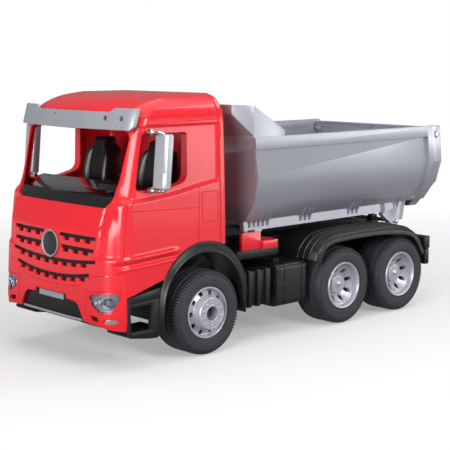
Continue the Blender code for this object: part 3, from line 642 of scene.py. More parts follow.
def cab_loft(name, inset, low, high, relieved=False, crown=False):
    """The closed volume of the cab between two heights, moved inwards by the inset."""
    heights = level_heights(low, high)
    rear = CAB_REAR - inset
    points = []
    for z in heights:
        ring = ring_at(z, inset, rear, relieved)
        count = len(ring)
        points += [(x, y, z) for x, y in ring]
    levels = len(heights)
    if crown:
        middle = Vector((0.0, -0.176))
        last = [Vector(p) for p in ring_at(heights[-1], inset, rear, False)]
        for share in (0.94, 0.86, 0.7, 0.45, 0.15):
            for p in last:
                q = middle + (p - middle) * share
                points.append((q.x, q.y, heights[-1] + 0.0010 * (1 - share)))
            levels += 1
    faces = [tuple(range(count)), tuple(range(len(points) - count, len(points)))]
    for level in range(levels - 1):
        base = level * count
        for i in range(count):
            j = (i + 1) % count
            faces.append((base + i, base + j, base + j + count, base + i + count))
    return solid(name, points, faces)


def mirrored(half):
    return list(half) + [(-x, z) for x, z in reversed(half)]


def across(half):
    return [(-x, z) for x, z in reversed(half[1:])] + list(half)


def arch_outline(grow=0.0, steps=40):
    (cy, cz), radius = ARCH_OUTER
    radius += grow
    over = []
    for i in range(steps + 1):
        turn = math.pi * (1 - i / steps)
        over.append((cy + radius * math.cos(turn), cz + radius * math.sin(turn)))
    return [(cy - radius, 0.03), *over, (cy + radius, 0.03)]


# ---------------------------------------------------------------- grooves on the cab
def side_groove(name, line, side, radius=0.0007, sink=0.0004):
    """A groove cutter that follows a line of (y, z) on the flank."""
    path = []
    for y, z in dense(line, 0.004):
        path.append((side * (side_x(y, z) - sink), y, z))
    return tube(name, path, radius, 6)


def front_groove(name, line, radius=0.0007, sink=0.0004):
    """A groove cutter that follows a line of (x, z) on the front."""
    path = [(x, front_y(x, z) + sink, z) for x, z in dense(line, 0.004)]
    return tube(name, path, radius, 6)


SIDE_GROOVES = {
    "door_front": (
        (-0.2640, 0.2965), (-0.2690, 0.2932), (-0.2769, 0.2557),
        (-0.2905, 0.2034), (-0.2935, 0.1799), (-0.2965, 0.1417),
    ),
    "door_rear": ((-0.1783, 0.2970), (-0.1784, 0.2199), (-0.1794, 0.1480)),
    "drip_low": ((-0.2655, 0.2965), (-0.2218, 0.2976), (-0.1425, 0.2996)),
    "drip_high": ((-0.2660, 0.3046), (-0.2217, 0.3057), (-0.1425, 0.3058)),
    "waist": ((-0.2900, 0.1946), (-0.2374, 0.1928), (-0.1800, 0.1908)),
    "quarter": (
        (-0.1732, 0.2096), (-0.1470, 0.2093), (-0.1470, 0.1726),
        (-0.1732, 0.1699), (-0.1732, 0.2080),
    ),
    "belt_foot": ((-0.2930, 0.1219), (-0.2636, 0.1234), (-0.2235, 0.1258)),
}


def rear_band_groove():
    """The groove round the cab in front of its rear band."""
    y = -0.1425
    left = [(cab_values(z)[0], z) for z in np.arange(0.140, CAB_TOP, 0.003)]
    over = [(x, CAB_TOP + 0.0006) for x in np.linspace(0.080, -0.080, 9)]
    right = [(-x, z) for x, z in reversed(left)]
    path = []
    for x, z in left + over + right:
        sink = 0.0004 if abs(x) > 0.085 else 0.0
        path.append((x - math.copysign(sink, x), y, z))
    return tube("band_groove", path, 0.0014, 6)


ROOF_HATCH = (
    (-0.052, -0.2240), (0.052, -0.2240), (0.060, -0.2160), (0.060, -0.1560),
    (-0.060, -0.1560), (-0.060, -0.2160), (-0.052, -0.2240),
)


def roof_groove():
    path = [(x, y, roof_z(x, y)) for x, y in dense(list(ROOF_HATCH), 0.006)]
    return tube("hatch_groove", path, 0.0012, 6)


def roof_z(x, y):
    """Height of the roof's skin at a place, by search down the loft."""
    low, high = 0.29, CAB_TOP
    for _ in range(24):
        z = (low + high) / 2
        inside = abs(x) < cab_values(z)[0] and y > front_y(x, z)
        low, high = (z, high) if inside else (low, z)
    return low + 0.0003


def slot_cutters():
    found = []
    for row, (start, end, middle, outer) in enumerate(GRILLE_ROWS):
        def height(x):
            return middle + (outer - middle) * (x / end) ** 2

        xs = np.linspace(start, end, 13)
        upper = [(x, height(x) + SLOT_HEIGHT / 2) for x in xs]
        lower = [(x, height(x) - SLOT_HEIGHT / 2) for x in xs]
        left = upper + lower[::-1]
        outlines = [left, [(-x, z) for x, z in left]]
        if start == 0:
            outlines = [across(upper) + across(lower)[::-1]]
        for i, outline in enumerate(outlines):
            found.append(prism(f"slot_{row}_{i}", outline, "y", CUT_FRONT, SLOT_END))
        for k, x in enumerate(GRILLE_NOTCHES[row]):
            top = height(x)
            for side in SIDES.values():
                notch = [(x - NOTCH_HALF_TOP, top), (x + NOTCH_HALF_TOP, top),
                         (x + NOTCH_HALF_LOW, top - NOTCH_DEPTH), (x - NOTCH_HALF_LOW, top - NOTCH_DEPTH)]
                notch = [(side * a, b) for a, b in rounded(notch, 0.0012, 2)]
                found.append(prism(f"notch_{row}_{k}_{side}", notch, "y", CUT_FRONT, SLOT_END))
    return found


def make_cab_shell(look):
    shell = cab_loft("cab", 0.0, 0.0890, CAB_TOP, relieved=True, crown=True)
    inside = cab_loft("cab_inside", WALL, 0.0790, CAB_TOP - WALL)
    carve(shell, inside)
    window = rounded(SIDE_WINDOW, WINDOW_ROUNDS, 6)
    outer = rounded(grown(SIDE_WINDOW, 0.0030), [r + 0.002 for r in WINDOW_ROUNDS], 6)
    for side in SIDES.values():
        fuse(shell, side_prism("reveal", outer, side, 0.1060, 0.1165))
    hem = [*SIDE_HEM, (-0.2000, 0.0700), (-0.3400, 0.0700)]
    seam = [(x, z + GAP) for x, z in across(BUMPER_SEAM_HALF)] + [(0.130, 0.070), (-0.130, 0.070)]
    pane = rounded(mirrored(WINDSHIELD_HALF), [0.004, 0.003, 0.012, 0.012, 0.003, 0.004], 5)
    cuts = [
        prism("cab_below", hem, "x", -CUT_SIDE, CUT_SIDE),
        prism("bumper_room", seam, "y", CUT_FRONT, BUMPER_REAR + GAP),
        prism("cab_arch", arch_outline(), "x", -CUT_SIDE, CUT_SIDE),
        box("cab_tail", (-0.2, -0.160, 0.05), (0.2, -0.100, 0.1400)),
        prism("windshield", pane, "y", CUT_FRONT, OPENING_END),
        prism("windows", window, "x", -CUT_SIDE, CUT_SIDE),
        *slot_cutters(),
    ]
    for side in SIDES.values():
        cuts.append(side_box("rear_notch", side, (0.110, -0.1335, 0.2392), (0.130, -0.1200, 0.2890)))
        for name, line in SIDE_GROOVES.items():
            cuts.append(side_groove(f"groove_{name}", line, side))
    cuts.append(rear_band_groove())
    cuts.append(roof_groove())
    carve(shell, *cuts)
    shade(shell, 38)
    place(shell, "chassis", "red_plastic", look["red"], "cab_shell")


def grown(outline, distance):
    middle_x = sum(x for x, _ in outline) / len(outline)
    middle_z = sum(z for _, z in outline) / len(outline)
    found = []
    for x, z in outline:
        scale = 1 + distance / math.hypot(x - middle_x, z - middle_z)
        found.append((middle_x + (x - middle_x) * scale, middle_z + (z - middle_z) * scale))
    return found


def front_slice(name, outline, inset, thickness):
    """A piece of curved front panel: an (x, z) outline cut from a layer under the surface."""
    heights = [z for _, z in outline]
    low, high = max(min(heights) - 0.004, 0.050), max(heights) + 0.004
    layer = cab_loft(name, inset, low, high)
    keep(layer, prism("outline", outline, "y", -0.35, -0.2945))
    carve(layer, cab_loft("core", inset + thickness, low - 0.003, high + 0.003))
    return layer


POD_SEAM = ((0.0738, 0.0997), (0.0703, 0.0919), (0.0715, 0.0775), (0.0725, 0.0643))
POD_RING = (
    (0.0738, 0.0960), (0.1050, 0.0990), (0.1168, 0.0999), (0.1174, 0.0902),
    (0.1159, 0.0771), (0.1003, 0.0711), (0.0762, 0.0827), (0.0738, 0.0955),
)


def make_bumper(look):
    bumper = cab_loft("bumper", 0.0, 0.050, 0.1240, relieved=True)
    inside = cab_loft("bumper_inside", WALL, 0.040, 0.130)
    over = across(BUMPER_SEAM_HALF) + [(0.130, 0.140), (-0.130, 0.140)]
    hem = [(0.0, 0.0589), *BUMPER_HEM_HALF, (0.1200, 0.0400), (0.0, 0.0400)]
    recess = mirrored(RECESS_HALF)
    cuts = [
        inside,
        box("bumper_behind", (-0.2, BUMPER_REAR, 0.03), (0.2, -0.1, 0.13)),
        prism("bumper_above", over, "y", CUT_FRONT, BUMPER_END),
        prism("bumper_recess", recess, "y", CUT_FRONT, OPENING_END),
        prism("bumper_hem_left", hem, "y", CUT_FRONT, BUMPER_END),
        prism("bumper_hem_right", [(-x, z) for x, z in hem], "y", CUT_FRONT, BUMPER_END),
    ]
    hole = rounded(((0.0794, 0.0685), (0.0946, 0.0678), (0.0965, 0.0620), (0.0838, 0.0624)), 0.0012, 2)
    for side in SIDES.values():
        for kind, outline in (("headlight", HEADLIGHT), ("fog", FOG_LAMP)):
            room = [(side * x, z) for x, z in rounded(grown(outline, 0.0006), 0.003, 4)]
            cuts.append(prism(f"{kind}_room", room, "y", CUT_FRONT, OPENING_END))
        cuts.append(prism("hole", [(side * x, z) for x, z in hole], "y", CUT_FRONT, OPENING_END))
        cuts.append(front_groove("pod_seam", [(side * x, z) for x, z in POD_SEAM], 0.0006))
        cuts.append(front_groove("pod_ring", [(side * x, z) for x, z in POD_RING], 0.0006))
    carve(bumper, *cuts)
    soften(bumper, 0.0005, 2, 50)
    shade(bumper, 38)
    place(bumper, "chassis", "red_plastic", look["red"], "front_bumper")


def lamp_place(x, z, side, sink):
    """Matrix that puts a turned piece's +X axis square to the front surface."""
    step = 0.002
    here = Vector((x, front_y(x, z), z))
    across_x = Vector((x + step, front_y(x + step, z), z)) - here
    up = Vector((x, front_y(x, z + step), z + step)) - here
    out = up.cross(across_x).normalized()
    if out.y > 0:
        out = -out
    out = (out + Vector((0, -0.35, 0))).normalized()
    here.x *= side
    out.x *= side
    turn = out.to_track_quat("X", "Z").to_matrix().to_4x4()
    return Matrix.Translation(here - out * sink) @ turn


def lamp_unit(name, x, z, side, radius, depth, look, body_look):
    profile = [
        (0.0, 0), (0.0004, radius * 0.20), (-0.0002, radius * 0.42), (-0.0010, radius * 0.62),
        (-0.0010, radius * 0.74), (0.0012, radius * 0.80), (0.0014, radius * 0.92),
        (0.0002, radius), (-0.0020, radius), (-0.0020, 0),
    ]
    unit = turned(name, profile, 36, closed=False)
    unit.data.transform(lamp_place(x, z, side, depth))
    shade(unit, 30)
    return place(unit, "chassis", "lamp_plastic", look[body_look])


def make_lamps(look):
    lens = clear_plastic("lamp_lens")
    for name, side in SIDES.items():
        placed = [(side * x, z) for x, z in rounded(HEADLIGHT, 0.003, 4)]
        shell = front_slice(f"headlight_shell_{name}", placed, 0.0040, 0.0016)
        shade(shell, 40)
        place(shell, "chassis", "lamp_plastic", look["lamp_shell"], f"headlight_{name}")
        cover = front_slice(f"headlight_lens_{name}", placed, 0.0006, 0.0008)
        shade(cover, 40)
        place(cover, "chassis", "lamp_plastic", lens)
        lamp_unit(f"headlight_main_{name}", 0.1075, 0.0853, side, 0.0068, 0.0034, look, "lamp_core")
        lamp_unit(f"headlight_small_{name}", 0.0925, 0.0853, side, 0.0055, 0.0034, look, "lamp_ring")
        strip = [(side * x, z) for x, z in rounded(FOG_LAMP, 0.0022, 4)]
        fog = front_slice(f"fog_{name}", strip, 0.0012, 0.0040)
        soften(fog, 0.0006, 2, 40)
        shade(fog, 40)
        place(fog, "chassis", "lamp_plastic", look["lamp_shell"], f"fog_lamp_{name}")


def make_front_trim(look):
    plate = box("plate", (-0.0260, -0.3203, 0.0790), (0.0260, -0.3186, 0.0862))
    carve(plate, box("plate_field", (-0.0252, -0.3300, 0.0798), (0.0252, -0.3199, 0.0854)))
    soften(plate, 0.0002, 1, 40)
    shade(plate)
    place(plate, "chassis", "silver_plastic", look["silver"], "number_plate")
    lip = from_cad("bumper_lip", "lip")
    soften(lip, 0.0007, 3, 40)
    shade(lip)
    place(lip, "chassis", "silver_plastic", look["silver"], "bumper_lip")
    profile = [(0, 0), (0, 0.0160), (0.0016, 0.0171), (0.0026, 0.0170), (0.0028, 0.0162),
               (0.0022, 0.0152), (0.0012, 0.0148), (0.0012, 0)]
    ring = turned("badge_ring", profile, 64, closed=False)
    turn = Matrix.Rotation(-math.atan(0.0545), 4, "X") @ Matrix.Rotation(math.radians(-90), 4, "Z")
    at = Matrix.Translation((0, -0.3188, 0.1470))
    ring.data.transform(at @ turn)
    shade(ring, 30)
    place(ring, "chassis", "silver_plastic", look["silver"], "badge")
    field = [(0.0013, 0), (0.0013, 0.0146), (0.0019, 0.0142), (0.0025, 0.0060), (0.0026, 0)]
    face = turned("badge_face", field, 64, closed=False)
    face.data.transform(at @ turn)
    shade(face, 30)
    place(face, "chassis", "black_plastic", look["black_gloss"])


# ---------------------------------------------------------------- visor
VISOR_LOW, VISOR_TOP, VISOR_DIP, VISOR_LEAN, VISOR_HALF = 0.2905, 0.3161, 0.3112, 0.30, 0.1160


def visor_layer(name, inset, low, high):
    ring = ring_at(VISOR_LOW, inset, CAB_REAR - inset, False)
    made = prism(name, ring, "z", low, high)
    for vertex in made.data.vertices:
        vertex.co.y += VISOR_LEAN * (vertex.co.z - VISOR_LOW)
    return made


def make_visor(look):
    visor = visor_layer("visor", -0.0060, VISOR_LOW, VISOR_TOP)
    reach = box("visor_reach", (-VISOR_HALF, -0.34, 0.28), (VISOR_HALF, -0.2680, 0.33))
    keep(visor, reach)
    dip = [(-0.0850, 0.33), (-0.0830, 0.3161), (-0.0765, 0.3120), (-0.0730, VISOR_DIP),
           (0.0730, VISOR_DIP), (0.0765, 0.3120), (0.0830, 0.3161), (0.0850, 0.33)]
    cuts = [visor_layer("visor_inner", -0.0036, 0.2800, 0.3300), prism("dip", dip, "y", -0.35, -0.2)]
    for x in (-0.0293, 0.0698, 0.0959):
        cuts.append(box("visor_hole", (x - 0.0030, -0.35, 0.3010), (x + 0.0030, -0.2, 0.3068)))
    for side in SIDES.values():
        corner = [
            (side * VISOR_HALF + side * 0.001, 0.288),
            (side * (VISOR_HALF - 0.006), 0.288),
            (side * VISOR_HALF, 0.2950),
        ]
        cuts.append(prism("visor_corner", corner, "y", -0.35, -0.2))
    line = [(-0.094, 0.3058), (-0.088, 0.3020), (-0.055, 0.3020)]
    long_line = [(-0.020, 0.3058), (-0.016, 0.3020), (0.040, 0.3020), (0.055, 0.3020), (0.060, 0.3052)]
    for path in (line, long_line):
        points = []
        for x, z in dense(path, 0.004):
            y = front_y_visor(x) + VISOR_LEAN * (z - VISOR_LOW)
            points.append((x, y + 0.0002, z))
        cuts.append(tube("visor_line", points, 0.0005, 6))
    carve(visor, *cuts)
    lugs = []
    for x, front, back in ((0.030, -0.2872, -0.2832), (0.085, -0.2800, -0.2755)):
        for side in SIDES.values():
            lugs.append(box("lug", (side * x - 0.004, front, 0.2990), (side * x + 0.004, back, 0.3050)))
    fuse(visor, *lugs)
    soften(visor, 0.0005, 2, 40)
    shade(visor, 40)
    place(visor, "chassis", "silver_plastic", look["silver"], "sun_visor")


# How far the visor stands off the cab.
VISOR_OFF = 0.006


def front_y_visor(x):
    """The visor's outer surface at its foot."""
    half, front, sweep, flank = cab_values(VISOR_LOW)
    return front_curve(x, half + VISOR_OFF, front - VISOR_OFF, sweep, flank - VISOR_OFF)


# ---------------------------------------------------------------- inside of the cab
# Height, half width, front y, rear y and bolster depth of the seat back's sections.
SEAT_LEVELS = (
    (0.1930, 0.0245, -0.2050, -0.1815, 0.0050),
    (0.2050, 0.0250, -0.2065, -0.1810, 0.0055),
    (0.2300, 0.0248, -0.2040, -0.1785, 0.0050),
    (0.2470, 0.0232, -0.2010, -0.1768, 0.0040),
    (0.2550, 0.0205, -0.1990, -0.1762, 0.0025),
    (0.2590, 0.0150, -0.1980, -0.1762, 0.0010),
    (0.2605, 0.0122, -0.1975, -0.1765, 0.0004),
    (0.2665, 0.0124, -0.1970, -0.1775, 0.0004),
    (0.2700, 0.0112, -0.1955, -0.1785, 0.0004),
    (0.2712, 0.0080, -0.1930, -0.1805, 0.0002),
)
SEAT_X = 0.058


def seat_ring(half, front, rear, bolster):
    left = [
        (0.0, front), (half * 0.35, front), (half * 0.60, front - 0.0004),
        (half * 0.70, front - bolster * 0.8), (half * 0.84, front - bolster),
        (half * 0.96, front - bolster * 0.6), (half, front + 0.0020),
        (half, rear - 0.0040), (half * 0.93, rear - 0.0008), (half * 0.6, rear),
    ]
    return left + [(0.0, rear)] + [(-x, y) for x, y in reversed(left[1:])]


def make_seat(look):
    """A driver's seat: bolstered back with piping, headrest, cushion and pedestal."""
    points = []
    for z, *section in SEAT_LEVELS:
        ring = seat_ring(*section)
        points += [(x, y, z) for x, y in ring]
    count = len(ring)
    faces = [tuple(range(count)), tuple(range(len(points) - count, len(points)))]
    faces += wall_faces(count, len(SEAT_LEVELS))
    back = solid("seat_back", points, faces)
    cushion = [(-0.2420, 0.1650), (-0.2460, 0.1760), (-0.2450, 0.1870), (-0.2390, 0.1905),
               (-0.2040, 0.1895), (-0.1840, 0.1890), (-0.1830, 0.1650)]
    pad = prism("seat_pad", rounded(cushion, 0.003, 3), "x", -0.0240, 0.0240)
    foot = prism("seat_foot", [(-0.2330, 0.1534), (-0.1830, 0.1534), (-0.1830, 0.1670),
                               (-0.2330, 0.1670)], "x", -0.018, 0.018)
    fuse(back, pad, foot)
    soften(back, 0.0009, 2, 45)
    shade(back, 60)
    for name, side in SIDES.items():
        seat = link(f"cab_seat_{name}", back.data.copy())
        seat.data.transform(Matrix.Translation((side * SEAT_X, 0, 0)))
        place(seat, "chassis", "black_plastic", look["seat"], f"seat_{name}")
        lines = []
        for edge in (-1, 1):
            path = []
            for z, half, front, _, bolster in SEAT_LEVELS[:5]:
                path.append((side * SEAT_X + edge * half * 0.84, front - bolster, z))
            lines.append(tube("piping", path, 0.0006, 8))
        made = fuse(lines[0], lines[1])
        made.name = f"seat_piping_{name}"
        shade(made, 60)
        place(made, "chassis", "black_plastic", look["black"])
    bpy.data.objects.remove(back)


DASH_FRONT_TOP, DASH_REAR_TOP, DASH_REAR = 0.2105, 0.2210, -0.2480


def make_dashboard(look):
    """A glossy dash with a sloping top, a front lip, vents, a binnacle and a steering wheel."""
    dash = cab_loft("dash", WALL + GAP, 0.1725, 0.2260)
    cuts = [box("behind", (-0.2, DASH_REAR, 0.14), (0.2, -0.1, 0.24))]
    over = [(-0.3300, 0.2500), (-0.3300, DASH_FRONT_TOP - 0.0058), (-0.3010, DASH_FRONT_TOP - 0.0004),
            (-0.2965, DASH_FRONT_TOP + 0.0012), (-0.2950, DASH_FRONT_TOP), (DASH_REAR, DASH_REAR_TOP),
            (-0.2300, DASH_REAR_TOP + 0.0030), (-0.2300, 0.2500)]
    cuts.append(prism("above", over, "x", -CUT_SIDE, CUT_SIDE))
    tray = [(-0.2880, 0.2300), (-0.2880, 0.2128), (-0.2860, 0.2098), (-0.2620, 0.2140),
            (-0.2600, 0.2190), (-0.2600, 0.2300)]
    cuts.append(prism("tray", tray, "x", 0.066, 0.098))
    for x in (-0.098, -0.060, 0.020, 0.080):
        cuts.append(box("vent", (x, -0.2520, 0.1950), (x + 0.016, -0.2400, 0.2010)))
    for x in (-0.0800, 0.0895):
        y = front_y(x, 0.205)
        cuts.append(box("front_line", (x - 0.0006, y - 0.004, 0.1900), (x + 0.0006, y + 0.0045, 0.2300)))
    carve(dash, *cuts)
    foot = box("dash_foot", (-0.085, -0.3000, 0.1535), (0.085, -0.2700, 0.1800))
    binnacle = prism("binnacle", rounded([(-0.2780, 0.2120), (-0.2720, 0.2222), (-0.2500, 0.2262),
                                          (-0.2500, 0.2100)], 0.002, 3), "x", 0.040, 0.076)
    fuse(dash, foot, binnacle)
    soften(dash, 0.0008, 3, 40)
    shade(dash, 40)
    place(dash, "chassis", "black_plastic", look["dash"], "dashboard")
    make_steering_wheel(look)


def make_steering_wheel(look):
    ring = [(0.0, 0.0150), (0.0012, 0.0156), (0.0016, 0.0164), (0.0010, 0.0173),
            (-0.0004, 0.0176), (-0.0014, 0.0168), (-0.0012, 0.0155)]
    wheel = turned("steering_wheel", ring, 40)
    hub = [(-0.0018, 0), (-0.0018, 0.0045), (0.0008, 0.0052), (0.0018, 0.0040), (0.0020, 0)]
    parts = [
        turned("steering_hub", hub, 24, closed=False),
        box("spoke", (-0.0007, -0.0158, -0.0013), (0.0007, 0.0158, 0.0013)),
        box("spoke", (-0.0007, -0.0013, -0.0158), (0.0007, 0.0013, 0.0)),
        box("column", (-0.0200, -0.0022, -0.0022), (0.0, 0.0022, 0.0022)),
    ]
    fuse(wheel, *parts)
    turn = Matrix.Rotation(math.radians(35), 4, "X") @ Matrix.Rotation(math.radians(90), 4, "Z")
    wheel.data.transform(Matrix.Translation((SEAT_X, -0.2400, 0.2195)) @ turn)
    shade(wheel, 40)
    place(wheel, "chassis", "black_plastic", look["black"])


# ---------------------------------------------------------------- mirrors
MIRROR_OUTLINE = (
    (0.1268, -0.2562),
    (0.1268, -0.2462),
    (0.1300, -0.2450),
    (0.1470, -0.2450),
    (0.1505, -0.2475),
    (0.1505, -0.2538),
    (0.1462, -0.2572),
    (0.1310, -0.2580),
)
MIRROR_LOW, MIRROR_HIGH = 0.2208, 0.2865
MIRROR_ARMS = ((0.2882, -0.2582), (0.2186, -0.2589))


def make_mirror_arms():
    """Round arms with a collar at the cab and an elbow over the housing."""
    parts = []
    for z, root in MIRROR_ARMS:
        path = [(0.1190, root, z), (0.1262, root, z), (0.1318, root + 0.0014, z),
                (0.1372, root + 0.0040, z), (0.1420, root + 0.0055, z)]
        parts.append(tube("arm", path, 0.0024, 16))
        collar = [(0.0, 0), (0.0, 0.0032), (0.0008, 0.0039), (0.0052, 0.0039), (0.0060, 0.0030),
                  (0.0072, 0.0030), (0.0072, 0)]
        knuckle = turned("collar", collar, 24, closed=False)
        knuckle.data.transform(Matrix.Translation((0.1200, root, z)))
        ball = [(-0.0036, 0), (-0.0026, 0.0026), (0.0, 0.0036), (0.0026, 0.0026), (0.0036, 0)]
        elbow = turned("elbow", ball, 20, closed=False)
        elbow.data.transform(Matrix.Translation((0.1345, root + 0.0026, z)))
        parts += [knuckle, elbow]
        low, high = sorted((z, z + (0.0040 if z < 0.25 else -0.0040)))
        parts.append(box("arm_end", (0.1372, root + 0.0020, low), (0.1425, root + 0.0078, high)))
    arms = fuse(parts[0], *parts[1:])
    soften(arms, 0.0003, 1, 55)
    shade(arms, 45)
    return arms


def make_mirrors(look):
    """Tall housing with a raised outer edge, a cover line and a low panel, and its glass."""
    outline = rounded(MIRROR_OUTLINE, 0.0028, 4)
    housing = prism("mirror_left_body", outline, "z", MIRROR_LOW, MIRROR_HIGH)
    soften(housing, 0.0022, 4, 60)
    edge = [(0.1432, -0.2584, 0.2900), (0.1430, -0.2584, 0.2440), (0.1430, -0.2584, 0.2400)]
    cover = [(0.1530, -0.2530, 0.2408), (0.1462, -0.2578, 0.2400), (0.1420, -0.2584, 0.2396),
             (0.1392, -0.2584, 0.2376), (0.1384, -0.2584, 0.2340), (0.1382, -0.2584, 0.2190)]
    low_panel = [(0.1404, 0.2222), (0.1406, 0.2344), (0.1424, 0.2366), (0.1458, 0.2370), (0.1458, 0.2222)]
    glass_room = [(0.1290, 0.2240), (0.1485, 0.2240), (0.1485, 0.2840), (0.1290, 0.2840)]
    carve(
        housing,
        tube("edge_line", edge, 0.0007, 6),
        tube("cover_line", cover, 0.0008, 6),
        prism("low_panel", rounded(low_panel, 0.001, 2), "y", -0.2600, -0.2571),
        prism("glass_room", rounded(glass_room, 0.003, 4), "y", -0.2464, -0.2400),
    )
    soften(housing, 0.0003, 1, 50)
    glass_edge = [(0.1294, 0.2244), (0.1481, 0.2244), (0.1481, 0.2836), (0.1294, 0.2836)]
    glass = prism("mirror_glass_left", rounded(glass_edge, 0.003, 4), "y", -0.2463, -0.2454)
    soften(glass, 0.0002, 1, 50)
    pivot = Matrix.Translation((0, -0.2510, 0.2535))
    lean = pivot @ Matrix.Rotation(-math.radians(5.3), 4, "X") @ pivot.inverted()
    for piece in (housing, glass):
        piece.data.transform(lean)
    arms = make_mirror_arms()
    arms.name = "mirror_arms_left"
    shade(housing, 40)
    shade(glass, 30)
    slot = "silver_plastic"
    place_pair(housing, "mirror_right_body", slot, look["mirror"], "mirror")
    place_pair(glass, "mirror_glass_right", slot, look["chrome"])
    place_pair(arms, "mirror_arms_right", slot, look["chrome"])


# ---------------------------------------------------------------- wheels
TYRE_RADIUS, RIM_RADIUS = 0.055, 0.0335
AXLE_Y = {"front": -0.1666, "middle": 0.0942, "rear": 0.2207}
TRACK_HALF = 0.1005
REAR_SLOT_TURN = 0.67
LUGS = 84


def tyre_mesh(name):
    """Tyre with raised sidewall rings and lugs round both shoulders, about the X axis."""
    # Distance from the middle, radius, and how deep the gaps between the lugs cut there.
    half = [
        (0.0000, 0.0548, 0.0), (0.0030, 0.0548, 0.0), (0.0033, 0.0530, 0.0), (0.0050, 0.0530, 0.0),
        (0.0053, 0.0549, 0.0), (0.0105, 0.0549, 0.0), (0.0112, 0.0531, 0.0), (0.0130, 0.0531, 0.0),
        (0.0134, 0.0549, 0.0020), (0.0180, 0.0546, 0.0022), (0.0205, 0.0540, 0.0026),
        (0.0222, 0.0527, 0.0030), (0.0232, 0.0505, 0.0024), (0.0236, 0.0492, 0.0),
        (0.0232, 0.0487, 0.0), (0.0237, 0.0480, 0.0), (0.0239, 0.0455, 0.0), (0.0240, 0.0425, 0.0),
        (0.0236, 0.0419, 0.0), (0.0237, 0.0410, 0.0), (0.0233, 0.0372, 0.0), (0.0228, 0.0366, 0.0),
        (0.0228, 0.0356, 0.0), (0.0222, 0.0350, 0.0), (0.0220, 0.0339, 0.0),
    ]
    profile = [(-a, r, d) for a, r, d in reversed(half[1:])] + half
    period = 2 * math.pi / LUGS
    turns = []
    for i in range(LUGS):
        for share, deep in ((0.0, 0), (0.52, 0), (0.60, 1), (0.92, 1)):
            turns.append((i + share, deep))
    points = []
    for along, radius, depth in profile:
        shift = 0.5 if along < 0 else 0.0
        blend = min(1.0, max(0.0, (abs(along) - 0.003) / 0.008))
        for share, deep in turns:
            turn = period * (share + shift * (1 if abs(along) > 0.003 else 0) * blend)
            r = radius - depth * deep
            points.append((along, r * math.sin(turn), r * math.cos(turn)))
    count, rows = len(turns), len(profile)
    faces = []
    for row in range(rows):
        following = (row + 1) % rows
        for i in range(count):
            j = (i + 1) % count
            faces.append((row * count + i, row * count + j, following * count + j, following * count + i))
    return shade(solid(name, points, faces), 28)


def around(count, shift, radius):
    """Turns about X that spread pieces evenly round a wheel."""
    found = []
    for i in range(count):
        turn = 2 * math.pi * (i + shift) / count
        at = Matrix.Translation((0, radius * math.sin(turn), radius * math.cos(turn)))
        found.append(at @ Matrix.Rotation(-turn, 4, "X"))
    return found


def wheel_holes(count, shift, radius, across, deep, corner, near, far):
    """Cutters for rounded windows in a wheel disc, with their sizes across and along a spoke."""
    a, b = across / 2, deep / 2
    outline = rounded([(-a, -b), (a, -b), (a, b), (-a, b)], corner, 5)
    cuts = []
    for at in around(count, shift, radius):
        hole = prism("hole", outline, "x", near, far)
        hole.data.transform(at)
        cuts.append(hole)
    return cuts


def wheel_bolts(count, radius, foot, top, size):
    bolts = []
    for at in around(count, 0.0, radius):
        profile = [(foot, 0), (foot, size), (top - 0.0004, size), (top, size * 0.7), (top, 0)]
        bolt = turned("bolt", profile, 6, closed=False)
        bolt.data.transform(at)
        bolts.append(bolt)
    return bolts


def front_rim(name):
    """Front wheel disc: lip, windowed slope, and a hub ring with nuts that stands proud."""
    profile = [
        (-0.0225, RIM_RADIUS), (0.0215, RIM_RADIUS), (0.0228, 0.0330), (0.0231, 0.0322),
        (0.0226, 0.0312), (0.0205, 0.0306), (0.0182, 0.0302), (0.0168, 0.0294), (0.0166, 0.0284),
        (0.0186, 0.0240), (0.0196, 0.0222), (0.0204, 0.0217), (0.0292, 0.0213), (0.0305, 0.0209),
        (0.0313, 0.0200), (0.0313, 0.0180), (0.0308, 0.0176), (0.0308, 0.0118), (0.0314, 0.0112),
        (0.0314, 0.0098), (0.0309, 0.0092), (0.0150, 0.0088), (0.0150, 0.0034),
        (-0.0120, 0.0034), (-0.0120, 0.0090), (0.0060, 0.0100), (0.0168, 0.0190), (0.0166, 0.0216),
        (0.0138, 0.0286), (0.0120, 0.0290),
        (-0.0225, 0.0300),
    ]
    rim = turned(name, profile, 72)
    carve(rim, *wheel_holes(10, 0.5, 0.0258, 0.0062, 0.0062, 0.0016, 0.001, 0.032))
    fuse(rim, *wheel_bolts(10, 0.0147, 0.0290, 0.0322, 0.0017))
    return shade(rim, 32)


def rear_rim(name):
    """Rear wheel disc: a deep dish, a bowl with slots, and a plain hub standing in it."""
    profile = [
        (-0.0225, RIM_RADIUS), (0.0225, RIM_RADIUS), (0.0236, 0.0329), (0.0240, 0.0321),
        (0.0237, 0.0311), (0.0222, 0.0304), (0.0200, 0.0300), (0.0160, 0.0296), (0.0150, 0.0286),
        (0.0148, 0.0272), (0.0164, 0.0258), (0.0120, 0.0214), (0.0082, 0.0174), (0.0076, 0.0158),
        (0.0082, 0.0146), (0.0100, 0.0140), (0.0115, 0.0137), (0.0122, 0.0130), (0.0124, 0.0110),
        (0.0124, 0.0044), (0.0112, 0.0034), (-0.0120, 0.0034), (-0.0120, 0.0090),
        (0.0010, 0.0100), (0.0030, 0.0150), (0.0060, 0.0185), (0.0100, 0.0225), (0.0120, 0.0262),
        (0.0100, 0.0282), (-0.0225, 0.0300),
    ]
    rim = turned(name, profile, 72)
    carve(rim, *wheel_holes(8, REAR_SLOT_TURN, 0.0213, 0.0058, 0.0078, 0.0028, 0.002, 0.022))
    return shade(rim, 32)


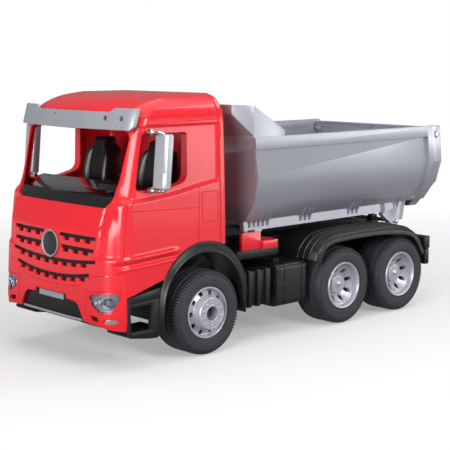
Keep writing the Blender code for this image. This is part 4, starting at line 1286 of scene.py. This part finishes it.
def painted_shadow_plate(name):
    """Dark plate inside the rim's barrel, behind the windows: painted shade that stands in for the shadow
    seen through them.
    """
    profile = [(-0.0050, 0.0100), (-0.0034, 0.0102), (-0.0030, 0.0150), (-0.0030, 0.0230),
               (-0.0034, 0.0270), (-0.0050, 0.0275)]
    return shade(turned(name, profile, 48), 30)


def axle_cap(name, kind):
    """Cap in the hub: recessed and dark in front, a low dome in the rear wheels."""
    if kind == "front":
        profile = [
            (0.0196, 0), (0.0196, 0.0040), (0.0190, 0.0048), (0.0190, 0.0066), (0.0202, 0.0072),
            (0.0202, 0.0084), (0.0152, 0.0085), (0.0152, 0.0033), (0.0164, 0.0033), (0.0164, 0),
        ]
    else:
        profile = [
            (0.0135, 0), (0.0134, 0.0030), (0.0130, 0.0052), (0.0125, 0.0060),
            (0.0111, 0.0042), (0.0111, 0.0033), (0.0121, 0.0033), (0.0121, 0),
        ]
    return shade(turned(name, profile, 40, closed=False), 30)


def make_wheels(look):
    tyre = tyre_mesh("tyre_shape")
    rims = {"front": front_rim("front_rim_shape"), "rear": rear_rim("rear_rim_shape")}
    caps = {kind: axle_cap(f"{kind}_cap_shape", kind) for kind in rims}
    shadow_plate = painted_shadow_plate("shadow_plate_shape")
    for place_name, y in AXLE_Y.items():
        kind = "front" if place_name == "front" else "rear"
        for side_name, side in SIDES.items():
            label = f"{place_name}_{side_name}"
            turn = Matrix.Rotation(0 if side > 0 else math.pi, 4, "Z")
            at = Matrix.Translation((side * TRACK_HALF, y, TYRE_RADIUS)) @ turn
            body = f"wheel_{label}"
            for part, shape, slot, finish_name in (
                ("tyre", tyre, "tyre_plastic", "tyre"),
                ("rim", rims[kind], "rim_plastic", "rim"),
                ("axle_cap", caps[kind], "rim_plastic", "hub" if kind == "front" else "rim"),
            ):
                made = link(f"{part}_{label}_look", shape.data.copy())
                made.matrix_world = at
                place(made, body, slot, look[finish_name], f"{part}_{label}")
            # A dark plate behind each rim's windows: painted shade where the barrel is only in shadow.
            made = link(f"liner_{label}", shadow_plate.data.copy())
            made.matrix_world = at
            place(made, body, "tyre_plastic", look["dark"])
    for shape in (tyre, shadow_plate, *rims.values(), *caps.values()):
        bpy.data.objects.remove(shape)


# ---------------------------------------------------------------- chassis and fenders
def make_front_fender(look):
    """Flare with a rounded shoulder and step well in one moulding, made on the left and mirrored."""
    (iy, iz), inner = ARCH_INNER
    (oy, oz), outer = ARCH_OUTER
    outer -= GAP
    steps = 56
    sections = []
    for i in range(steps + 1):
        turn = math.radians(180 - 180 * i / steps)
        inside = Vector((iy + inner * math.cos(turn), iz + inner * math.sin(turn)))
        outside = Vector((oy + outer * math.cos(turn), oz + outer * math.sin(turn)))
        sections.append((inside, outside))
    sections.insert(0, (Vector((-0.2416, 0.0420)), Vector((-0.2446, 0.0420))))
    sections.append((Vector((-0.1043, 0.0470)), Vector((-0.0975, 0.0470))))
    # Share of the way from the inner to the outer line, and distance from the middle plane.
    shape = [(0.0, 0.0790), (0.0, 0.1245), (0.0, 0.1262), (0.10, 0.1270), (0.24, 0.1268), (0.36, 0.1256),
             (0.55, 0.1240), (0.78, 0.1228), (0.94, 0.1217), (1.0, 0.1200), (1.0, 0.0790)]
    points, faces = [], []
    for inside, outside in sections:
        for share, x in shape:
            p = inside + (outside - inside) * share
            points.append((x, p.x, p.y))
    count = len(shape)
    for i in range(len(sections) - 1):
        for k in range(count):
            j = (k + 1) % count
            faces.append((i * count + k, i * count + j, (i + 1) * count + j, (i + 1) * count + k))
    faces.append(tuple(range(count)))
    faces.append(tuple(range((len(sections) - 1) * count, len(sections) * count)))
    fender = solid("fender_front_left", points, faces)
    well = [(-0.2932, 0.0905), (-0.2932, 0.0465), (-0.2945, 0.0460), (-0.2940, 0.0435), (-0.2905, 0.0415),
            (-0.2620, 0.0370), (-0.2480, 0.0360), (-0.2440, 0.0400), (-0.2440, 0.0700),
            (-0.2420, 0.0900), (-0.2400, 0.0985)]
    fuse(fender, prism("step_well", well, "x", 0.0800, 0.1215))
    cut = rounded([(-0.2892, 0.0480), (-0.2600, 0.0475), (-0.2580, 0.0790), (-0.2900, 0.0790)], 0.002, 3)
    slot = rounded([(-0.2912, 0.0822), (-0.2480, 0.0850), (-0.2475, 0.0862), (-0.2912, 0.0835)], 0.0004, 2)
    low_gap = box("low_gap", (0.0700, -0.2640, 0.0482), (0.1170, -0.2380, 0.0590))
    carve(fender, prism("well_cut", cut, "x", 0.07, 0.13), low_gap,
          prism("bar_slot", slot, "x", 0.1195, 0.13))
    for k in range(5):
        y = -0.2860 + 0.0075 * k
        z = 0.0467 - (y + 0.2892) * 0.017
        fuse(fender, box("tread", (0.0900, y, z), (0.1200, y + 0.0025, z + 0.0018)))
    soften(fender, 0.0006, 2, 40)
    shade(fender, 40)
    place_pair(fender, "fender_front_right", "black_plastic", look["black"], "front_fender")


REAR_FENDER_TOP = (
    (0.0290, 0.0990), (0.0345, 0.1130), (0.0520, 0.1270), (0.0720, 0.1320), (0.1500, 0.1335),
    (0.2100, 0.1300), (0.2350, 0.1255), (0.2500, 0.1205), (0.2650, 0.1080), (0.2790, 0.0860),
)


def smooth_line(line, steps=5):
    """A curve through the points of a line, without overshoot between close ones."""
    points = [Vector(p) for p in line]
    found = []
    for i in range(len(points) - 1):
        a, b = points[i], points[i + 1]
        before = points[max(i - 1, 0)]
        after = points[min(i + 2, len(points) - 1)]
        reach = (b - a).length
        m = (b - before).normalized() * reach
        n = (after - a).normalized() * reach
        for k in range(steps):
            t = k / steps
            t2, t3 = t * t, t * t * t
            found.append((2 * t3 - 3 * t2 + 1) * a + (t3 - 2 * t2 + t) * m
                         + (3 * t2 - 2 * t3) * b + (t3 - t2) * n)
    return found + [points[-1]]


def make_rear_fender(look):
    """Long mudguard with a crowned section, a rolled outer lip and a shallow top rib."""
    line = smooth_line(REAR_FENDER_TOP)
    normals = []
    for i, here in enumerate(line):
        along = line[min(i + 1, len(line) - 1)] - line[max(i - 1, 0)]
        along.normalize()
        normals.append(Vector((along.y, -along.x)))
    # Distance from the middle plane and depth below the top line.
    shape = [(0.0463, 0.0)]
    for rib, drop in ((0.0930, 0.0), (0.1040, 0.0002), (0.1140, 0.0008)):
        shape += [(rib - 0.0014, drop), (rib - 0.0008, drop - 0.0009), (rib, drop - 0.0012),
                  (rib + 0.0008, drop - 0.0009), (rib + 0.0014, drop)]
    shape += [(0.1185, 0.0016), (0.1210, 0.0026), (0.1226, 0.0030), (0.1250, 0.0040), (0.1268, 0.0060),
              (0.1274, 0.0090), (0.1274, 0.0128), (0.1256, 0.0128), (0.1253, 0.0092),
              (0.1236, 0.0064), (0.1195, 0.0046), (0.1150, 0.0034), (0.1100, 0.0028), (0.0463, 0.0026)]
    points, faces = [], []
    for here, down in zip(line, normals):
        for x, depth in shape:
            p = here + down * depth
            points.append((x, p.x, p.y))
    count = len(shape)
    for i in range(len(line) - 1):
        for k in range(count):
            j = (k + 1) % count
            faces.append((i * count + k, i * count + j, (i + 1) * count + j, (i + 1) * count + k))
    faces.append(tuple(range(count)))
    faces.append(tuple(range((len(line) - 1) * count, len(line) * count)))
    fender = solid("fender_rear_left", points, faces)
    shade(fender, 35)
    place_pair(fender, "fender_rear_right", "black_plastic", look["black"], "rear_fender")


def make_side_boxes(look):
    """Fuel tank with straps and filler, and the finned battery box, made on the left and mirrored."""
    tank_shape = [(0.0463, 0.0395), (0.1120, 0.0395), (0.1120, 0.0980), (0.0463, 0.0980)]
    tank_outline = rounded(tank_shape, [0.001, 0.008, 0.008, 0.001], 6)
    tank = prism("tank_left", tank_outline, "y", -0.0310, 0.0272)
    soften(tank, 0.0012, 2, 50)
    cuts = []
    for y in (-0.0200, 0.0140):
        ring = rounded([(0.0440, 0.0330), (0.1150, 0.0330), (0.1150, 0.1010), (0.0440, 0.1010)], 0.002, 1)
        strap = prism("strap", ring, "y", y, y + 0.0050)
        inner = [(0.0430, 0.0401), (0.1114, 0.0401), (0.1114, 0.0974), (0.0430, 0.0974)]
        inner = rounded(inner, [0.001, 0.0076, 0.0076, 0.001], 6)
        hollow = prism("strap_hollow", inner, "y", y - 0.01, y + 0.015)
        carve(strap, hollow)
        cuts.append(strap)
    carve(tank, *cuts)
    rib = [(0.1110, 0.0655), (0.1124, 0.0665), (0.1124, 0.0705), (0.1110, 0.0715)]
    fuse(tank, prism("tank_rib", rib, "y", -0.0290, 0.0250))
    shade(tank, 35)
    profile = [(0.0983, 0), (0.0983, 0.0052), (0.1000, 0.0052), (0.1004, 0.0047), (0.1030, 0.0046),
               (0.1035, 0.0040), (0.1035, 0)]
    cap = turned("cap_left", profile, 32, closed=False)
    grips = []
    for i in range(12):
        turn = 2 * math.pi * i / 12
        grip = box("grip", (0.1006, -0.0004, -0.0004), (0.1030, 0.0004, 0.0004))
        grip.data.transform(Matrix.Translation((0, 0.0047 * math.sin(turn), 0.0047 * math.cos(turn))))
        grips.append(grip)
    fuse(cap, *grips)
    cap.data.transform(Matrix.Translation((0.092, -0.014, 0)) @ Matrix.Rotation(math.radians(-90), 4, "Y"))
    shade(cap, 35)
    low, high = (0.0463, -0.0860, 0.0500), (0.108, -0.0385, 0.0940)
    body = box("battery_left", low, high)
    fins = []
    for y in (-0.0800, -0.0640, -0.0480):
        outline = rounded([(0.06, 0.0462), (0.112, 0.0462), (0.112, 0.0965), (0.06, 0.0965)], 0.003, 3)
        fins.append(prism("fin", outline, "y", y - 0.0035, y + 0.0035))
    fuse(body, *fins)
    soften(body, 0.0008, 2, 50)
    shade(body, 35)
    for made, right_name, node in (
        (tank, "tank_right", "fuel_tank"),
        (cap, "cap_right", "tank_cap"),
        (body, "battery_right", "battery_box"),
    ):
        place_pair(made, right_name, "black_plastic", look["black"], node)


def make_chassis(look):
    for node, name, width in (
        ("chassis_frame", "chassis_look", 0.0006),
        ("rear_crossmember", "rear_beam", 0.0008),
        ("mudflap_left", "mudflap_left_look", 0.0012),
        ("mudflap_right", "mudflap_right_look", 0.0012),
        ("cab_floor", "cab_floor_look", 0.0004),
        ("bumper_insert", "bumper_insert_look", 0.0003),
        ("grille_insert", "grille_insert_look", 0.0003),
    ):
        made = from_cad(node, name)
        soften(made, width, 2, 40)
        shade(made, 35)
        place(made, "chassis", "black_plastic", look["black"], node)
    for node in ("front_axle", "middle_axle", "rear_axle", "tipper_pin"):
        made = from_cad(node, f"{node}_look")
        soften(made, 0.0004, 2, 50)
        shade(made, 40)
        place(made, "chassis", "steel", look["steel"], node)


def make_latch(look):
    made = from_cad("latch_slider", "latch_look")
    soften(made, 0.0012, 3, 40)
    shade(made, 35)
    place(made, "latch", "red_plastic", look["red"], "latch_slider")


# ---------------------------------------------------------------- tipper
TIPPER_LEAN, CREASE_Z, RAIL_TOP = 0.134, 0.2200, 0.2735
TIPPER_END = 0.3120
# Outer and inner line of the wide rim round the bucket's open end, as (x, z).
END_RIM_OUTER = ((0.1262, 0.2720), (0.1262, 0.2200), (0.1150, 0.1862), (0.0930, 0.1608))
END_RIM_INNER = ((0.1211, 0.2720), (0.1213, 0.2200), (0.1106, 0.1883), (0.0888, 0.1625))
# The wall is sunk in front of that rim, down to this line.
SUNK_INNER = ((0.1206, 0.2570), (0.1221, 0.2200), (0.1112, 0.1877), (0.0905, 0.1630))
SUNK_OUTER = ((0.1300, 0.2570), (0.1300, 0.2200), (0.1200, 0.1820), (0.0980, 0.1580))
END_RIM_LENGTH, SUNK_LENGTH = 0.0290, 0.0085
RAIL_FINS = (-0.0575, -0.0490, -0.0405, -0.0320, -0.0235, 0.0430, 0.0520, 0.0610, 0.1450, 0.1540, 0.1630)
EAR_FINS = (0.2490, 0.2560)


def lean_y(y, z):
    return y - TIPPER_LEAN * (z - CREASE_Z)


def rail_fins(side):
    """Thin gussets from the bottom rail out to the bucket's slope, each between two slots."""
    fins, slots = [], []
    outline = [(0.0840, 0.1478), (0.0862, 0.1490), (0.0884, 0.1550), (0.0972, 0.1668),
               (0.0940, 0.1668), (0.0860, 0.1590), (0.0840, 0.1590)]
    slot = [(0.0832, 0.1484), (0.0870, 0.1484), (0.0870, 0.1574), (0.0832, 0.1574)]
    for y in RAIL_FINS:
        shape = [(side * x, z) for x, z in outline]
        fins.append(prism("fin", shape, "y", y - 0.0009, y + 0.0009))
        for edge in (y - 0.0022, y + 0.0012):
            shape = [(side * x, z) for x, z in slot]
            slots.append(prism("fin_slot", shape, "y", edge, edge + 0.0010))
    return fins, slots


def ear_ribs(side):
    """Flanges down both edges of the hinge ear, and two short fins between them."""
    found = []
    for y_top, y_low, z_low, width in ((0.2215, 0.2232, 0.1430, 0.0016), (0.2700, 0.2640, 0.1290, 0.0018)):
        shape = [(0.0860, z_low), (0.0895, z_low + 0.002), (0.0900, 0.1580), (0.0985, 0.1690),
                 (0.0940, 0.1690), (0.0860, 0.1600)]
        rib = prism("ear_flange", [(side * x, z) for x, z in shape], "y", 0.0, width)
        for vertex in rib.data.vertices:
            share = (vertex.co.z - z_low) / (0.1690 - z_low)
            vertex.co.y += y_low + (y_top - y_low) * min(1.0, share * 1.3)
        found.append(rib)
    for y in EAR_FINS:
        shape = [(0.0860, 0.1480), (0.0880, 0.1500), (0.0895, 0.1560), (0.0972, 0.1668),
                 (0.0940, 0.1668), (0.0860, 0.1600)]
        found.append(prism("ear_fin", [(side * x, z) for x, z in shape], "y", y - 0.0008, y + 0.0008))
    return found


def leaning(name, side, outer, inner, front, rear):
    """A band between two (x, z) lines, run along Y with both ends leaning."""
    outline = [(side * x, z) for x, z in (*outer, *reversed(inner))]
    made = prism(name, outline, "y", front, rear)
    for vertex in made.data.vertices:
        vertex.co.y = lean_y(vertex.co.y, vertex.co.z)
    return made


def make_bucket(look):
    """The bucket with a wider end rim that stands out from the sunk wall in front of it."""
    bucket = from_cad("tipper_bucket", "bucket")
    rim_front = TIPPER_END - END_RIM_LENGTH
    for side in SIDES.values():
        carve(bucket, leaning("sunk", side, SUNK_OUTER, SUNK_INNER, rim_front - SUNK_LENGTH,
                              rim_front + 0.002))
        fuse(bucket, leaning("end_rim", side, END_RIM_OUTER, END_RIM_INNER, rim_front,
                             TIPPER_END - 0.010))
    soften(bucket, 0.0007, 2, 25)
    shade(bucket, 28)
    place(bucket, "tipper", "grey_plastic", look["grey"], "tipper_bucket")


def make_subframe(look):
    sub = from_cad("tipper_subframe", "subframe")
    fins, slots = [], []
    for side in SIDES.values():
        made, cut = rail_fins(side)
        fins += made + ear_ribs(side)
        slots += cut
    carve(sub, *slots)
    fuse(sub, *fins)
    soften(sub, 0.0003, 1, 40)
    shade(sub, 30)
    place(sub, "tipper", "grey_plastic", look["grey"], "tipper_subframe")


def make_tailgate(look):
    """Flat gate with an inward top lip and a ledge below it, and ribs on its outer face."""
    gate = from_cad("tailgate", "gate")
    low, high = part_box("tailgate")
    half = min(-low[0], high[0]) - 0.0060
    ribs = []
    for z, depth, thick in ((RAIL_TOP - 0.0036, 0.0060, 0.0014), (0.2630, 0.0040, 0.0014)):
        y = gate_y(z)
        ribs.append(box("ledge", (-half, y - 0.0010 - depth, z), (half, y, z + thick)))
    for x in (-0.0600, 0.0, 0.0600):
        y = gate_y(0.2630)
        ribs.append(box("knob", (x - 0.0020, y - 0.0060, 0.2615), (x + 0.0020, y, 0.2660)))
        outline = [(gate_y(0.1700), 0.1700), (gate_y(0.2500), 0.2500)]
        out = [(outline[1][0] + 0.0030, 0.2500), (outline[0][0] + 0.0030, 0.1700)]
        ribs.append(prism("outer_rib", outline + out, "x", x - 0.0015, x + 0.0015))
    y = gate_y(0.2100)
    ribs.append(box("outer_bar", (-0.0950, y, 0.2085), (0.0950, y + 0.0030, 0.2115)))
    fuse(gate, *ribs)
    soften(gate, 0.0004, 2, 35)
    shade(gate, 30)
    place(gate, "tailgate", "grey_plastic", look["grey"], "tailgate")


def gate_y(z):
    """Middle of the tailgate's thickness at a height."""
    low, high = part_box("tailgate")
    middle = (low[1] + high[1]) / 2
    return middle - TIPPER_LEAN * (z - (low[2] + high[2]) / 2)


def make_tipper(look):
    make_bucket(look)
    make_subframe(look)
    make_tailgate(look)
    for name in SIDES:
        pin = from_cad(f"tailgate_pin_{name}", f"gate_pin_{name}")
        soften(pin, 0.0003, 2, 50)
        shade(pin, 40)
        place(pin, "tipper", "steel", look["steel"], f"tailgate_pin_{name}")


# ---------------------------------------------------------------- camera, lights and floor
def make_camera():
    data = bpy.data.cameras.new("camera")
    data.lens = 92.95
    data.sensor_width = 36
    data.clip_start = 0.05
    camera = bpy.data.objects.new("camera", data)
    bpy.context.scene.collection.objects.link(camera)
    camera.location = (1.1941, -1.1364, 0.3792)
    aim = Vector((0, -0.022, 0.140)) - camera.location
    camera.rotation_mode = "QUATERNION"
    camera.rotation_quaternion = aim.to_track_quat("-Z", "Y")
    bpy.context.scene.camera = camera


def soft_light(name, location, target, width, power, height=None):
    data = bpy.data.lights.new(name, "AREA")
    data.energy = power
    data.shape = "RECTANGLE"
    data.size = width
    data.size_y = height or width
    made = bpy.data.objects.new(name, data)
    bpy.context.scene.collection.objects.link(made)
    made.location = location
    made.visible_camera = False
    aim = Vector(target) - Vector(location)
    made.rotation_mode = "QUATERNION"
    made.rotation_quaternion = aim.to_track_quat("-Z", "Y")


FLOOR_REACH, FLOOR_Z = 12.0, -0.0004
FLOOR_WHITE, FLOOR_BOUNCE, FAR_GLOW = 0.86, 0.05, 0.60
WHITE_FROM, WHITE_TO, WHITE_NEAR = 0.45, 1.30, 0.30
SURROUND, SURROUND_GLOW = 1.0, 0.22


def seen_or_lit(tree, seen, lit):
    """One shader where the picture shows it and another for the light it gives."""
    path = tree.nodes.new("ShaderNodeLightPath")
    mix = tree.nodes.new("ShaderNodeMixShader")
    tree.links.new(path.outputs["Is Camera Ray"], mix.inputs["Fac"])
    tree.links.new(lit, mix.inputs[1])
    tree.links.new(seen, mix.inputs[2])
    return mix.outputs["Shader"]


def floor_paper():
    """Pale paper. It looks pure white away from the truck, and throws little light back near it."""
    made = finish("paper", (FLOOR_WHITE,) * 3, 0.75, grain=60, grain_depth=0.01, wave=3,
                  wave_depth=0.0, tone=0.004, mottle=2, specular=0.1)
    tree = made.node_tree
    where = tree.nodes.new("ShaderNodeTexCoord").outputs["Object"]
    length = node_of(tree, "ShaderNodeVectorMath", operation="LENGTH")
    tree.links.new(where, length.inputs[0])
    share = mapped(tree, length.outputs["Value"], WHITE_NEAR, 1.0, WHITE_FROM, WHITE_TO)
    glow = node_of(tree, "ShaderNodeEmission", Color=(1, 1, 1, 1), Strength=1.0)
    fade = tree.nodes.new("ShaderNodeMixShader")
    tree.links.new(share, fade.inputs["Fac"])
    tree.links.new(tree.nodes["Principled BSDF"].outputs["BSDF"], fade.inputs[1])
    tree.links.new(glow.outputs["Emission"], fade.inputs[2])
    dim = node_of(tree, "ShaderNodeBsdfDiffuse", Color=(FLOOR_BOUNCE,) * 3 + (1,))
    far_glow = node_of(tree, "ShaderNodeEmission", Color=(1, 1, 1, 1), Strength=FAR_GLOW)
    lit = tree.nodes.new("ShaderNodeMixShader")
    tree.links.new(share, lit.inputs["Fac"])
    tree.links.new(dim.outputs["BSDF"], lit.inputs[1])
    tree.links.new(far_glow.outputs["Emission"], lit.inputs[2])
    surface = seen_or_lit(tree, fade.outputs["Shader"], lit.outputs["Shader"])
    tree.links.new(surface, tree.nodes["Material Output"].inputs["Surface"])
    return made


def make_world():
    world = bpy.data.worlds.new("studio")
    bpy.context.scene.world = world
    world.use_nodes = True
    tree = world.node_tree
    shades = []
    for strength in (SURROUND, SURROUND_GLOW):
        shade_of = node_of(tree, "ShaderNodeBackground", Color=(1, 1, 1, 1), Strength=strength)
        shades.append(shade_of.outputs["Background"])
    surface = seen_or_lit(tree, *shades)
    tree.links.new(surface, tree.nodes["World Output"].inputs["Surface"])


def make_stage():
    """A large pale floor, wide soft lights and a white surround."""
    r, z = FLOOR_REACH, FLOOR_Z
    floor = solid("floor", [(-r, -r, z), (r, -r, z), (r, r, z), (-r, r, z)], [(0, 1, 2, 3)])
    floor.data.materials.append(floor_paper())
    make_world()
    soft_light("overhead", (0.0, 0.0, 1.9), (0, 0, 0), 2.4, 17)
    soft_light("rear_top", (0.35, 1.55, 1.65), (0, 0, 0.15), 1.4, 9, 0.6)
    soft_light("key", (0.80, -2.30, 0.75), (0, -0.1, 0.14), 1.3, 44)
    soft_light("side", (2.1, -0.1, 1.3), (0, 0, 0.12), 1.0, 26)
    soft_light("low_side", (1.75, 1.75, 0.26), (0, 0, 0.16), 1.7, 13, 0.8)
    bpy.context.scene.view_settings.view_transform = "Standard"


# ---------------------------------------------------------------- the whole truck
def build():
    look = make_finishes()
    make_cab_shell(look)
    make_bumper(look)
    make_lamps(look)
    make_front_trim(look)
    make_visor(look)
    make_seat(look)
    make_dashboard(look)
    make_mirrors(look)
    make_wheels(look)
    make_front_fender(look)
    make_rear_fender(look)
    make_side_boxes(look)
    make_chassis(look)
    make_latch(look)
    make_tipper(look)
    make_camera()
    make_stage()


build()
